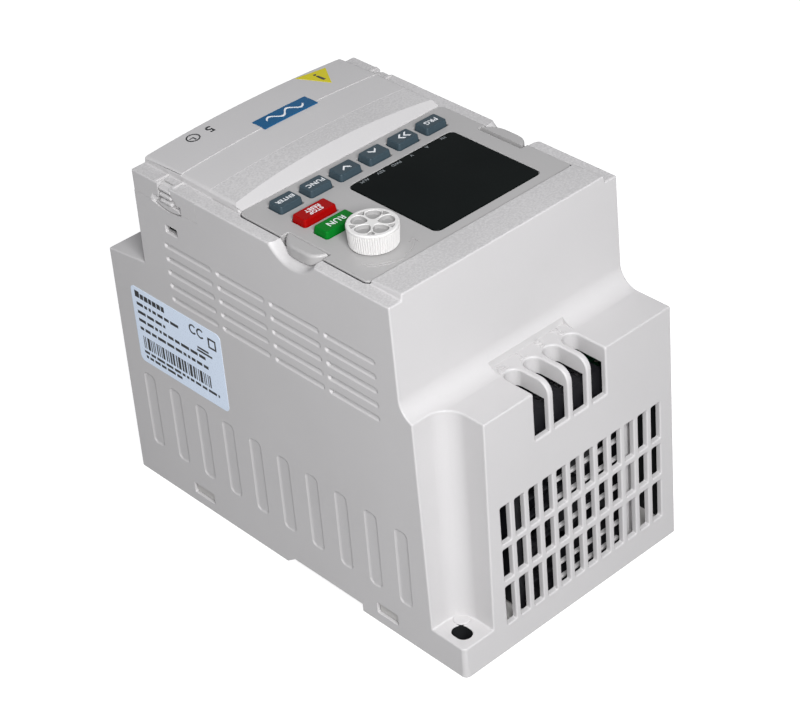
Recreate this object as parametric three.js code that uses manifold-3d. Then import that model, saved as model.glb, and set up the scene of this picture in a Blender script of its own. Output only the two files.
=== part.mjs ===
// Compact variable frequency drive for an electrical cabinet.
// Frame: origin at the centre of the back (mounting) face, +Z out of the control panel,
// +Y towards the end with the terminal slots and the air outlet, +X to the reader's right.
// Millimetres throughout.
import * as THREE from "three";
import { mergeVertices } from "three/addons/utils/BufferGeometryUtils.js";
import Module from "manifold-3d";

const wasm = await Module();
wasm.setup();

// ---------------------------------------------------------------- driving dimensions
const WIDTH = 95;
const LENGTH = 160;
const SIDE_DRAFT = 0.005; // narrowing of each side wall per millimetre of height
const WALL = 2.4;
const GAP = 0.3; // clearance between pieces that touch

const LEDGE_NEAR_Z = 88.6; // step at the +Y end
const LEDGE_FAR_OUTER_Z = 89.8; // step at the -Y end, sloping up towards the middle
const LEDGE_FAR_INNER_Z = 92.2;
const SHOULDER_NEAR_Y = 59.1; // upper end wall at the +Y end
const SHOULDER_FAR_Y = -59.9; // upper end wall at the -Y end
const LEDGE_FILLET = 7;
const STRIP_Z = 126.8; // narrow shoulder along both sides of the panel
const PLATEAU_Z = 129; // highest flat of the housing, between keypad and +Y end
const PLATEAU_HALF = 41.4;
const SKIRT_Z = 119.2; // lower edge of the terminal cover's side skirts
const SKIRT_Y = -28.3; // where the skirts start

const FOOT_Z = 11.8;
const FOOT_X = 34.9; // inner corner of the foot recess
const FOOT_Y = 65.8;
const RECESS_RADIUS = 7;
const RECESS_DRAFT = 0.023;
const FOOT_HOLE_X = 41.9;
const FOOT_HOLE_Y = 73.2;
const FOOT_HOLE_R = 2.75;
const FOOT_HOLE_LENGTH = 7;

const RAIL_Y0 = -3.6; // channel for a 35 mm DIN rail, across the back
const RAIL_Y1 = 33.3;
const RAIL_DEPTH = 3.2;
const RAIL_CHAMFER = 4.4;

const VENT = { columns: 12, pitch: 6.03, width: 4, firstX: 26.9 };
const VENT_ROWS = [
  [10.2, 25],
  [27.4, 39.4],
  [41.5, 55.5],
];
const SLOT = { width: 6.05, pitch: 8.2, endY: 65.4, bottomZ: 71.5, ribZ: 82.7 };
const INPUT_SLOTS_X = [9.7, 1.5, -6.7, -14.9];
const OUTPUT_SLOTS_X = [-16.4, -8.2, 0, 8.2, 16.4];

const KEYPAD = { halfX: 42.3, y0: -12.9, y1: 44.9, topZ: 127.3, bottomZ: 112.3, wall: 1.8 };
const WINDOW = { x0: -33.2, x1: 10.7, y0: 1.4, y1: 40.5, depth: 1.2, ledge: 3.4 };
const KEY = { length: 8.9, width: 6.4, height: 2.1 };
const WIDE_KEY_LENGTH = 13.1;
const KEY_ROW_Y = -5.4;
const KEY_PITCH = 12.06;
const KEY_FIRST_X = -30.5;
const WIDE_KEY_X = 28;
const STOP_KEY_Y = 5.7;
const RUN_KEY_Y = 15.4;
const KNOB = { x: 26.9, y: 30.7, radius: 8, z0: 127.8, z1: 134.6 };
const TAB = { y0: 7.2, y1: 25, x0: 40.1, x1: 44.5, bottomZ: 114 };
const SCOOP = { y: 16.1, z: 136.2, radius: 14.1, x0: 42.6 };

const COVER = {
  y1: -13.2,
  bevelZ: 127.3,
  ridgeY: -18,
  sideZ: 129.3,
  crown: 1.7,
  creaseY: -41.3,
  slope: 0.08,
};
const LATCH = { y: -42.4, width: 7.2, padZ: 119.7, holeZ0: 109.6, holeZ1: 112.3, holeWidth: 5.6 };

const LABEL = { y0: -70, y1: -24.4, z0: 49.8, z1: 79.7, thickness: 0.15 };

const HEATSINK = { halfX: 43.8, halfY: 55.8, z0: 50, z1: 56, finZ: 6.5, fins: 14, finThickness: 1.4 };
const FAN = { x: -6.2, z: 32.4, size: 50, y0: 57.5, depth: 15, bore: 23, rotor: 22, hub: 9.5 };
const POWER_BOARD_Z = 62;
const CONTROL_BOARD_Z = 101;
const KEYPAD_BOARD_Z = 116;
const BOARD = 1.6;

const HALF_W = WIDTH / 2;
const HALF_L = LENGTH / 2;
const INNER_X = 44.5; // inside faces of the side walls
const ROUND = 24; // facets of a full circle

// ---------------------------------------------------------------- solids
function solidOf(geometry) {
  const bare = geometry.clone();
  bare.deleteAttribute("normal");
  bare.deleteAttribute("uv");
  const merged = mergeVertices(bare, 1e-4);
  const mesh = new wasm.Mesh({
    numProp: 3,
    vertProperties: merged.attributes.position.array,
    triVerts: new Uint32Array(merged.index.array),
  });
  return new wasm.Manifold(mesh);
}

function geometryOf(solid) {
  const mesh = solid.getMesh();
  const positions = new Float32Array(mesh.vertProperties);
  const geometry = new THREE.BufferGeometry();
  geometry.setAttribute("position", new THREE.BufferAttribute(positions, 3));
  geometry.setIndex(new THREE.BufferAttribute(new Uint32Array(mesh.triVerts), 1));
  const faceted = geometry.toNonIndexed();
  faceted.computeVertexNormals();
  return faceted;
}

function box(x0, x1, y0, y1, z0, z1) {
  const geometry = new THREE.BoxGeometry(x1 - x0, y1 - y0, z1 - z0);
  geometry.translate((x0 + x1) / 2, (y0 + y1) / 2, (z0 + z1) / 2);
  return solidOf(geometry);
}

// The shape's plane and the extrusion's direction, for an extrusion along each axis.
const PLANES = {
  x: [new THREE.Vector3(0, 1, 0), new THREE.Vector3(0, 0, 1), new THREE.Vector3(1, 0, 0)],
  y: [new THREE.Vector3(-1, 0, 0), new THREE.Vector3(0, 0, 1), new THREE.Vector3(0, 1, 0)],
  z: [new THREE.Vector3(1, 0, 0), new THREE.Vector3(0, 1, 0), new THREE.Vector3(0, 0, 1)],
};

// Extrudes an outline along an axis. The outline is (y, z) along x, (-x, z) along y, (x, y) along z.
function extrude(shape, axis, from, to, curveSegments = 5) {
  const outline = shape instanceof THREE.Shape ? shape : polygon(shape);
  const geometry = new THREE.ExtrudeGeometry(outline, {
    depth: to - from,
    bevelEnabled: false,
    curveSegments,
  });
  geometry.translate(0, 0, from);
  geometry.applyMatrix4(new THREE.Matrix4().makeBasis(...PLANES[axis]));
  return solidOf(geometry);
}

function polygon(points) {
  return new THREE.Shape(points.map(([u, v]) => new THREE.Vector2(u, v)));
}

function roundedRect(x0, x1, y0, y1, radius) {
  const shape = new THREE.Shape();
  shape.moveTo(x0 + radius, y0);
  shape.lineTo(x1 - radius, y0);
  shape.absarc(x1 - radius, y0 + radius, radius, -Math.PI / 2, 0, false);
  shape.lineTo(x1, y1 - radius);
  shape.absarc(x1 - radius, y1 - radius, radius, 0, Math.PI / 2, false);
  shape.lineTo(x0 + radius, y1);
  shape.absarc(x0 + radius, y1 - radius, radius, Math.PI / 2, Math.PI, false);
  shape.lineTo(x0, y0 + radius);
  shape.absarc(x0 + radius, y0 + radius, radius, Math.PI, Math.PI * 1.5, false);
  return shape;
}

// Points of an arc, angles in degrees.
function arc(u, v, radius, from, to, steps) {
  const points = [];
  for (let i = 0; i <= steps; i++) {
    const angle = THREE.MathUtils.degToRad(from + ((to - from) * i) / steps);
    points.push([u + radius * Math.cos(angle), v + radius * Math.sin(angle)]);
  }
  return points;
}

function cylinder(radius, axis, from, to, u, v, facets = ROUND) {
  const geometry = new THREE.CylinderGeometry(radius, radius, to - from, facets);
  const middle = (from + to) / 2;
  if (axis === "x") geometry.rotateZ(-Math.PI / 2).translate(middle, u, v);
  if (axis === "y") geometry.translate(u, middle, v);
  if (axis === "z") geometry.rotateX(Math.PI / 2).translate(u, v, middle);
  return solidOf(geometry);
}

function join(...solids) {
  return solids.reduce((whole, piece) => whole.add(piece));
}

function cut(body, ...tools) {
  return tools.reduce((rest, tool) => rest.subtract(tool), body);
}

function mirrorX(solid) {
  return solid.mirror([1, 0, 0]);
}

function halfTurn(solid) {
  return solid.rotate([0, 0, 180]);
}

function span(count) {
  return Array.from({ length: count }, (_, i) => i);
}

// ---------------------------------------------------------------- materials
function plastic(color, roughness = 0.6) {
  return new THREE.MeshStandardMaterial({ color, roughness, metalness: 0 });
}

function metal(color, roughness = 0.35) {
  return new THREE.MeshStandardMaterial({ color, roughness, metalness: 1 });
}

const COLOURS = {
  casing: 0xd2d0cc,
  base: 0xc4c2be,
  keypad: 0xbab8b4,
  key: 0x3f4d58,
  stop: 0xc81e22,
  run: 0x149437,
  window: 0x161a1a,
  knob: 0xe8e6e4,
  badge: 0x2a5fa0,
  caution: 0xd8c820,
  label: 0xd6e2f4,
  board: 0x1f5a3a,
  black: 0x1b1b1d,
  terminal: 0x2a8a4a,
  capacitor: 0x22303c,
  aluminium: 0xb4b6b8,
  steel: 0xc8cacc,
  ferrite: 0x35383a,
  relay: 0x28405e,
};

function part(name, solid, material, x = 0, y = 0, z = 0) {
  const mesh = new THREE.Mesh(geometryOf(solid), material);
  mesh.name = name;
  mesh.position.set(x, y, z);
  return mesh;
}

// ---------------------------------------------------------------- main housing
// Corner recess above a mounting foot, opening a little towards the top.
function footRecess(margin, z0, z1) {
  const x = FOOT_X - margin;
  const y = FOOT_Y - margin;
  const beyond = HALF_L + 20;
  const radius = RECESS_RADIUS + margin;
  const corner = arc(x + radius, y + radius, radius, 270, 180, 4);
  const outline = [[beyond, y], [beyond, beyond], [x, beyond], ...corner.reverse()];
  const lean = new THREE.Matrix4().set(
    1, 0, -RECESS_DRAFT, RECESS_DRAFT * FOOT_Z,
    0, 1, -RECESS_DRAFT, RECESS_DRAFT * FOOT_Z,
    0, 0, 1, 0,
    0, 0, 0, 1,
  );
  const geometry = new THREE.ExtrudeGeometry(polygon(outline), { depth: z1 - z0, bevelEnabled: false });
  geometry.translate(0, 0, z0).applyMatrix4(lean);
  return solidOf(geometry);
}

function bothFeet(margin, z0, z1) {
  const recess = footRecess(margin, z0, z1);
  return join(recess, halfTurn(recess));
}

// Narrowing envelope that gives both side walls their draft.
function sideEnvelope() {
  const top = HALF_W - SIDE_DRAFT * 140;
  return extrude([[-HALF_W, 0], [HALF_W, 0], [top, 140], [-top, 140]], "y", -100, 100);
}

function outerBody() {
  const fillet = arc(SHOULDER_NEAR_Y + LEDGE_FILLET, LEDGE_NEAR_Z + LEDGE_FILLET, LEDGE_FILLET, 270, 180, 5);
  const profile = [
    [-HALF_L, 0],
    [HALF_L, 0],
    [HALF_L - 0.8, LEDGE_NEAR_Z],
    ...fillet,
    [SHOULDER_NEAR_Y - 0.9, STRIP_Z],
    [SHOULDER_FAR_Y + 0.4, STRIP_Z],
    [SHOULDER_FAR_Y, LEDGE_FAR_INNER_Z],
    [1 - HALF_L, LEDGE_FAR_OUTER_Z],
  ];
  const plateau = [
    [KEYPAD.y1 + GAP, 120],
    [SHOULDER_NEAR_Y - 0.9, 120],
    [SHOULDER_NEAR_Y - 0.9, PLATEAU_Z],
    [KEYPAD.y1 + GAP, PLATEAU_Z - 0.8],
  ];
  return join(
    extrude(profile, "x", -HALF_W, HALF_W).intersect(sideEnvelope()),
    extrude(plateau, "x", -PLATEAU_HALF, PLATEAU_HALF),
  );
}

function housingCavity() {
  const lower = [[-77.6, -1], [77.6, -1], [76.9, 86.2], [-76.6, 87.2]];
  const roomUnderFloor = box(-INNER_X, INNER_X, SHOULDER_FAR_Y + WALL + 0.4, 56.2, 80, 109.8);
  const underPlateau = box(-38, 38, 47.4, 56, 109, 126.4);
  const rearRoom = box(-INNER_X, INNER_X, SHOULDER_FAR_Y + WALL + 0.4, SKIRT_Y, 100, 140);
  const coverSeat = join(
    box(-41.7, 41.7, SKIRT_Y - 1, -14.4, 100, 140),
    box(-41.7, 41.7, -15, KEYPAD.y0 - GAP, 123.2, 140),
  );
  return join(
    extrude(lower, "x", -INNER_X, INNER_X).subtract(bothFeet(WALL, -2, 100)),
    roomUnderFloor,
    underPlateau,
    rearRoom,
    coverSeat,
  );
}

function keypadPocket() {
  const side = KEYPAD.halfX + GAP;
  return join(
    box(-side, side, KEYPAD.y0 - GAP, KEYPAD.y1 + GAP, 112, 140),
    box(-14, 14, -5, 11, 108, 113),
  );
}

function ventCutters(y0, y1) {
  const cutters = [];
  for (const column of span(VENT.columns)) {
    const x = VENT.firstX - column * VENT.pitch;
    for (const [z0, z1] of VENT_ROWS) {
      cutters.push(box(x - VENT.width / 2, x + VENT.width / 2, y0, y1, z0, z1));
    }
  }
  return cutters;
}

// One wire slot: through the ledge from above, and down the end wall to its sill.
function wireSlot(x) {
  const half = SLOT.width / 2;
  const fromAbove = new THREE.Shape();
  fromAbove.moveTo(x + half, 90);
  fromAbove.lineTo(x - half, 90);
  fromAbove.lineTo(x - half, SLOT.endY + half);
  fromAbove.absarc(x, SLOT.endY + half, half, Math.PI, Math.PI * 2, false);
  return join(
    extrude(fromAbove, "z", SLOT.ribZ - 3, 100, 4),
    box(x - half, x + half, 76, 90, SLOT.bottomZ, 100),
  );
}

// Ribs between the slots, hanging below the ledge.
function slotBlock(centres) {
  const x0 = Math.min(...centres) - SLOT.width / 2 - 2.2;
  const x1 = Math.max(...centres) + SLOT.width / 2 + 2.2;
  return box(x0, x1, SLOT.endY - 2.2, 77.2, SLOT.ribZ, 87);
}

// Rounds the free corner of the ribs that stand between the slots.
function ribRounding(centres) {
  const x0 = Math.min(...centres);
  const x1 = Math.max(...centres);
  const radius = 4.5;
  const corner = box(x0, x1, 79.3 - radius, 90, LEDGE_NEAR_Z - radius, 100);
  return corner.subtract(cylinder(radius, "x", x0 - 1, x1 + 1, 79.3 - radius, LEDGE_NEAR_Z - radius));
}

function footHole() {
  const half = (FOOT_HOLE_LENGTH - 2 * FOOT_HOLE_R) / 2;
  const shape = new THREE.Shape();
  shape.absarc(FOOT_HOLE_X, FOOT_HOLE_Y + half, FOOT_HOLE_R, 0, Math.PI, false);
  shape.absarc(FOOT_HOLE_X, FOOT_HOLE_Y - half, FOOT_HOLE_R, Math.PI, Math.PI * 2, false);
  return extrude(shape, "z", -1, FOOT_Z + 1, 8);
}

function railChannel(x0, x1) {
  const outline = [
    [RAIL_Y0, -1],
    [RAIL_Y1, -1],
    [RAIL_Y1, RAIL_DEPTH],
    [RAIL_Y0 + RAIL_CHAMFER, RAIL_DEPTH],
    [RAIL_Y0, 0],
  ];
  return extrude(outline, "x", x0, x1);
}

const HOOKS = [{ y0: 40.6, y1: 50 }, { y0: -50.2, y1: -39.8 }];
const HOOK_Z0 = 4.1;
const HOOK_Z1 = 8.2;

function hookWindows() {
  return join(...HOOKS.map(({ y0, y1 }) => box(-60, 60, y0, y1, HOOK_Z0, HOOK_Z1)));
}

// Room for a cover latch in one side wall: window, inner groove and thumb relief.
function latchRelief() {
  const half = LATCH.holeWidth / 2;
  return join(
    box(43, 50, LATCH.y - half, LATCH.y + half, LATCH.holeZ0, LATCH.holeZ1),
    box(44, 45.8, LATCH.y - half, LATCH.y + half, LATCH.holeZ0, 130),
    box(43.5, 50, LATCH.y - 6.1, LATCH.y + 6.1, SKIRT_Z - 1.2, SKIRT_Z + 2),
  );
}

function thumbScoop() {
  return cylinder(SCOOP.radius, "x", SCOOP.x0, 60, SCOOP.y, SCOOP.z, 40);
}

// Screw bosses under the keypad floor that carry the control board.
function boardBosses() {
  const places = [[36, 50], [-36, 50], [36, -8], [-36, -8]];
  return join(...places.map(([x, y]) => cylinder(3.2, "z", CONTROL_BOARD_Z + BOARD + GAP, 110.4, x, y, 12)));
}

function mainHousing() {
  const shell = outerBody().subtract(housingCavity());
  const inputSide = join(shell, slotBlock(INPUT_SLOTS_X), boardBosses());
  const withOutput = inputSide.add(halfTurn(slotBlock(OUTPUT_SLOTS_X)));
  const feet = footRecess(0, FOOT_Z, 100);
  const hole = footHole();
  const sides = [latchRelief(), thumbScoop()];
  return cut(
    withOutput,
    feet,
    halfTurn(feet),
    hole,
    halfTurn(hole),
    keypadPocket(),
    box(-60, 60, -70, SKIRT_Y, SKIRT_Z, 140),
    ...INPUT_SLOTS_X.map(wireSlot),
    ribRounding(INPUT_SLOTS_X),
    ...OUTPUT_SLOTS_X.map((x) => halfTurn(wireSlot(x))),
    ...ventCutters(74, 90),
    ...ventCutters(74, 90).map(halfTurn),
    railChannel(-60, 60),
    hookWindows(),
    box(-28, 28, -70, -56, 104, 140),
    ...sides,
    ...sides.map(mirrorX),
  );
}

// ---------------------------------------------------------------- back plate and rail clip
function backPlate() {
  const side = INNER_X - GAP;
  const plate = box(-side, side, -77.1, 77.1, 0, 6).subtract(bothFeet(WALL + GAP, -2, 20));
  const hooks = HOOKS.flatMap(({ y0, y1 }) => {
    const hook = box(side - 0.1, 46.6, y0 + 0.4, y1 - 0.4, HOOK_Z0 + 0.4, HOOK_Z1 - GAP);
    return [hook, mirrorX(hook)];
  });
  return cut(join(plate, ...hooks), railChannel(-60, 60), box(-12.4, 12.4, -60, -2, -1, 3.5));
}

function dinClip() {
  const slider = box(-12, 12, -50, -4.2, 0.5, 3.1);
  const noseOutline = [[-5, 0.5], [-1.8, 0.5], [-1.8, 0.9], [-4.2, 2.4], [-5, 2.4]];
  const nose = extrude(noseOutline, "x", -9, 9);
  const driverSlot = box(-3, 3, -47, -43, -1, 5);
  const springSlot = box(4, 8, -38, -14, -1, 5);
  return cut(join(slider, nose), driverSlot, springSlot, mirrorX(springSlot));
}

// ---------------------------------------------------------------- cooling
const BOARD_POSTS = [[37, 50], [-37, 50], [37, -50], [-37, -50]];

function heatsink() {
  const { halfX, halfY, z0, z1, finZ, fins, finThickness } = HEATSINK;
  const pitch = (2 * halfX - finThickness) / (fins - 1);
  const blades = span(fins).map((i) => {
    const x = -halfX + i * pitch;
    return box(x, x + finThickness, -halfY, halfY, finZ, z0 + 1);
  });
  const posts = BOARD_POSTS.map(([x, y]) => box(x - 3, x + 3, y - 3, y + 3, z1 - 1, POWER_BOARD_Z - GAP));
  return join(box(-halfX, halfX, -halfY, halfY, z0, z1), ...blades, ...posts);
}

function fanFrame() {
  const half = FAN.size / 2;
  const y1 = FAN.y0 + FAN.depth;
  const frame = box(FAN.x - half, FAN.x + half, FAN.y0, y1, FAN.z - half, FAN.z + half);
  const duct = cylinder(FAN.bore, "y", FAN.y0 - 1, y1 + 1, FAN.x, FAN.z, 32);
  const struts = span(3).map((i) =>
    box(-1.3, 1.3, y1 - 2.6, y1, 5, half).rotate([0, 120 * i, 0]).translate([FAN.x, 0, FAN.z]),
  );
  const mount = cylinder(FAN.hub, "y", y1 - 2.6, y1, FAN.x, FAN.z);
  return join(frame.subtract(duct), ...struts, mount);
}

function fanRotor() {
  const y1 = FAN.y0 + FAN.depth - 3.2;
  const hub = cylinder(FAN.hub, "y", FAN.y0 + 1, y1, FAN.x, FAN.z);
  const blades = span(7).map((i) =>
    box(-0.6, 0.6, -6, 6, FAN.hub - 1.5, FAN.rotor)
      .rotate([0, 0, 40])
      .rotate([0, (360 / 7) * i, 0])
      .translate([FAN.x, FAN.y0 + 6.2, FAN.z]),
  );
  return join(hub, ...blades);
}

// Air guide between the fan and the end wall: frame, four cross bars and one upright.
function fanGuard() {
  const y0 = FAN.y0 + FAN.depth + GAP;
  const half = FAN.size / 2;
  const outer = box(FAN.x - half, FAN.x + half, y0, y0 + 2.6, FAN.z - half, FAN.z + half);
  const rim = half - 2;
  const hole = box(FAN.x - rim, FAN.x + rim, y0 - 1, y0 + 4, FAN.z - rim, FAN.z + rim);
  const barHeights = [17.5, 29.8, 45, 51];
  const bars = barHeights.map((z) => box(FAN.x - rim - 1, FAN.x + rim + 1, y0, y0 + 2.6, z, z + 1.8));
  const upright = box(-28.6, -26.4, y0, y0 + 2.6, FAN.z - half + 1, FAN.z + half - 1);
  return join(outer.subtract(hole), ...bars, upright);
}

// ---------------------------------------------------------------- power electronics
function powerBoard() {
  const z1 = POWER_BOARD_Z + BOARD;
  const holes = BOARD_POSTS.map(([x, y]) => cylinder(1.8, "z", POWER_BOARD_Z - 1, z1 + 1, x, y, 12));
  const outline = [
    [-43, -61],
    [-24, -61],
    [-24, -76],
    [24, -76],
    [24, -61],
    [43, -61],
    [43, 61],
    [18, 61],
    [18, 76],
    [-21, 76],
    [-21, 61],
    [-43, 61],
  ];
  return cut(extrude(outline, "z", POWER_BOARD_Z, z1), ...holes);
}

const MODULE_TOP = POWER_BOARD_Z - GAP;

function powerModule() {
  return box(-33, 33, -25, 20, HEATSINK.z1 + GAP, MODULE_TOP);
}

function rectifierBridge() {
  return box(-18, 18, 27, 47, HEATSINK.z1 + GAP, MODULE_TOP);
}

function capacitor() {
  const profile = [[0, 0], [12, 0], [12, 1.6], [12.4, 2.4], [12.4, 32.2], [11.6, 33], [0, 33]];
  const points = profile.map(([r, z]) => new THREE.Vector2(r, z));
  return solidOf(new THREE.LatheGeometry(points, ROUND).rotateX(Math.PI / 2));
}

function choke() {
  const ring = new THREE.TorusGeometry(9, 4.4, 8, 20);
  return solidOf(ring.translate(0, 0, 4.4));
}

const TERMINAL = { halfY: 6.8, height: 14.5, screwHole: 1.7 };

// A barrier block in its own frame: origin under its middle, wires enter at +y.
function terminalBlock(offsets) {
  const { halfY, height, screwHole } = TERMINAL;
  const reach = Math.max(...offsets) + 5;
  const body = box(-reach, reach, -halfY, halfY, 0, height);
  const cells = offsets.flatMap((x) => [
    box(x - 2.9, x + 2.9, -halfY + 1.2, halfY - 2.4, height - 5, height + 1),
    cylinder(screwHole, "z", 1, height, x, -0.6, 12),
    box(x - 2.2, x + 2.2, halfY - 4, halfY + 1, 2, 6.6),
  ]);
  return cut(body, ...cells);
}

function terminalScrew() {
  const head = cylinder(2.5, "z", 0, 1.8, 0, 0, 16);
  const shank = cylinder(1.3, "z", -6, 0.5, 0, 0, 12);
  return join(head.subtract(box(-0.35, 0.35, -3, 3, 0.9, 3)), shank);
}

// ---------------------------------------------------------------- control electronics
function controlBoard() {
  const z1 = CONTROL_BOARD_Z + BOARD;
  return box(-41.5, 41.5, -56, 54, CONTROL_BOARD_Z, z1);
}

function controlTerminalBlock() {
  const body = box(-30, 30, -4.5, 4.5, 0, 10);
  const cells = span(10).flatMap((i) => {
    const x = -27 + i * 6;
    return [box(x - 2, x + 2, -6, -1.5, 1.5, 5), cylinder(1.7, "z", 6.5, 11, x, 0.8, 10)];
  });
  return cut(body, ...cells);
}

const BRIDGE = { x0: -8, x1: 8, y0: -1, y1: 5, split: 109.2 };

function keypadSocket() {
  const { x0, x1, y0, y1, split } = BRIDGE;
  const socket = box(x0 - 1, x1 + 1, y0 - 1, y1 + 1, CONTROL_BOARD_Z + BOARD + GAP, split);
  return socket.subtract(box(x0 + 1, x1 - 1, y0 + 1, y1 - 1, split - 3, split + 1));
}

function keypadPlug() {
  const { x0, x1, y0, y1, split } = BRIDGE;
  return join(
    box(x0, x1, y0, y1, split + GAP, KEYPAD_BOARD_Z - GAP),
    box(x0 + 1.5, x1 - 1.5, y0 + 1.5, y1 - 1.5, split - 2.5, split + 1),
  );
}

// ---------------------------------------------------------------- keypad
const KEYS = [
  { name: "key_program", x: KEY_FIRST_X, y: KEY_ROW_Y, length: KEY.length },
  { name: "key_shift", x: KEY_FIRST_X + KEY_PITCH, y: KEY_ROW_Y, length: KEY.length },
  { name: "key_up", x: KEY_FIRST_X + 2 * KEY_PITCH, y: KEY_ROW_Y, length: KEY.length },
  { name: "key_down", x: KEY_FIRST_X + 3 * KEY_PITCH, y: KEY_ROW_Y, length: KEY.length },
  { name: "key_function", x: KEY_FIRST_X + 4 * KEY_PITCH, y: KEY_ROW_Y, length: KEY.length },
  { name: "key_enter", x: KEY_FIRST_X + 5 * KEY_PITCH, y: KEY_ROW_Y, length: KEY.length },
  { name: "key_stop", x: WIDE_KEY_X, y: STOP_KEY_Y, length: WIDE_KEY_LENGTH, colour: COLOURS.stop },
  { name: "key_run", x: WIDE_KEY_X, y: RUN_KEY_Y, length: WIDE_KEY_LENGTH, colour: COLOURS.run },
];

function keyOpening({ x, y, length }) {
  const u = length / 2 + GAP;
  const v = KEY.width / 2 + GAP;
  return box(x - u, x + u, y - v, y + v, 120, 130);
}

// A key cap in its own frame: origin at the panel's surface, flange under the panel.
function keyCap(length) {
  const cap = new THREE.BoxGeometry(length, KEY.width, KEY.height + 3.6);
  cap.translate(0, 0, (KEY.height - 3.6) / 2);
  const position = cap.attributes.position;
  for (let i = 0; i < position.count; i++) {
    if (position.getZ(i) < 0) continue;
    position.setX(i, position.getX(i) - 0.45 * Math.sign(position.getX(i)));
    position.setY(i, position.getY(i) - 0.45 * Math.sign(position.getY(i)));
  }
  const u = length / 2 + 0.8;
  const v = KEY.width / 2 + 0.8;
  return join(solidOf(cap), box(-u, u, -v, v, -3.6, -2.3));
}

function keypadHousing() {
  const { halfX, y0, y1, topZ, bottomZ, wall } = KEYPAD;
  const tabInner = TAB.x0 - 0.9;
  const shell = cut(
    extrude(roundedRect(-halfX, halfX, y0, y1, 2.2), "z", bottomZ, topZ, 3),
    box(-halfX + wall, halfX - wall, y0 + wall, y1 - wall, bottomZ - 1, topZ - 2),
  );
  const tabWall = box(tabInner - 1.6, tabInner, TAB.y0 - 2.4, TAB.y1 + 2.4, bottomZ, topZ - 1);
  const tabRoom = box(tabInner, 50, TAB.y0 - 0.6, TAB.y1 + 0.6, bottomZ - 1, topZ + 1);
  const { x0, x1, y0: w0, y1: w1, depth, ledge } = WINDOW;
  return cut(
    join(shell, tabWall, mirrorX(tabWall)),
    tabRoom,
    mirrorX(tabRoom),
    extrude(roundedRect(x0, x1, w0, w1, 2.2), "z", topZ - depth, topZ + 1, 3),
    box(x0 + ledge, x1 - ledge, w0 + ledge, w1 - ledge, topZ - 4, topZ),
    cylinder(3.6, "z", topZ - 4, topZ + 1, KNOB.x, KNOB.y),
    ...KEYS.map(keyOpening),
  );
}

function displayWindow() {
  const { x0, x1, y0, y1, depth } = WINDOW;
  const outline = roundedRect(x0 + 0.25, x1 - 0.25, y0 + 0.25, y1 - 0.25, 2);
  return extrude(outline, "z", KEYPAD.topZ - depth + GAP, KEYPAD.topZ + 0.15, 3);
}

function keypadBoard() {
  return box(-37, 37, -9.6, 42.6, KEYPAD_BOARD_Z, KEYPAD_BOARD_Z + 1.2);
}

// Rubber mat with one dome under each key.
function keyMat() {
  const z0 = KEYPAD_BOARD_Z + 1.2 + GAP;
  const strip = box(-36, 36, -9.2, -1.6, z0, z0 + 1.5);
  const tongue = box(20.5, 35.5, -3, 19.6, z0, z0 + 1.5);
  const domes = KEYS.map(({ x, y }) => cylinder(2.4, "z", z0 + 1, 122.4, x, y, 12));
  return join(strip, tongue, ...domes);
}

function ledDisplay() {
  return box(-25, 3, 10, 30, KEYPAD_BOARD_Z + 1.2 + GAP, 124.4);
}

function potBody() {
  const body = box(-5.5, 5.5, -5.5, 5.5, 0, 6);
  return body.subtract(cylinder(3.4, "z", 2, 7, 0, 0));
}

function knob() {
  const height = KNOB.z1 - KNOB.z0;
  const rim = KNOB.radius;
  const profile = [[0, 0], [rim, 0], [rim, height - 0.4], [rim - 0.4, height], [0, height]];
  const points = profile.map(([r, z]) => new THREE.Vector2(r, z));
  const body = solidOf(new THREE.LatheGeometry(points, 32).rotateX(Math.PI / 2));
  return body.subtract(cylinder(3.3, "z", -1, height - 2, 0, 0));
}

// Squeeze tab at the +X side: a lozenge in the thumb scoop on a lever inside the pocket.
function keypadTab() {
  const middle = (TAB.y0 + TAB.y1) / 2;
  const half = (TAB.y1 - TAB.y0) / 2;
  const bulge = TAB.x1 - TAB.x0;
  const lozenge = span(17).map((i) => {
    const t = i / 8 - 1;
    return [TAB.x0 + bulge * (1 - t ** 4), middle + half * t];
  });
  const dish = cylinder(SCOOP.radius - 0.8, "x", TAB.x0 - 1, 50, SCOOP.y, SCOOP.z, 40);
  const pad = extrude(lozenge, "z", 120, KEYPAD.topZ + 0.3).intersect(dish);
  const lever = box(TAB.x0, KEYPAD.halfX - 0.4, TAB.y0 + 2.5, TAB.y1 - 2.5, TAB.bottomZ, 125.4);
  return join(pad, lever);
}

// ---------------------------------------------------------------- terminal cover
function coverTop(inset) {
  const { y1, bevelZ, ridgeY, sideZ, crown, creaseY, slope } = COVER;
  const half = PLATEAU_HALF - inset;
  const far = SHOULDER_FAR_Y + 0.4 + inset;
  const top = sideZ + crown - inset;
  const front = y1 - inset;
  const profile = [[far, SKIRT_Z], [front, SKIRT_Z], [front, bevelZ - inset], [ridgeY, top], [far, top]];
  const radius = (PLATEAU_HALF ** 2 + crown ** 2) / (2 * crown);
  const sweep = THREE.MathUtils.radToDeg(Math.asin(half / radius));
  const arch = [[-half, 100], [half, 100], ...arc(0, top - radius, radius, 90 - sweep, 90 + sweep, 12)];
  const flat = extrude(arch, "y", -70, 0);
  const leaning = flat.transform([1, 0, 0, 0, 0, 1, slope, 0, 0, 0, 1, 0, 0, 0, -slope * creaseY, 1]);
  return extrude(profile, "x", -half, half).intersect(flat).intersect(leaning);
}

function latchOpening() {
  const half = LATCH.width / 2 + 0.5;
  return box(40, 50, LATCH.y - half, LATCH.y + half, SKIRT_Z - 2, 124.8);
}

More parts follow.
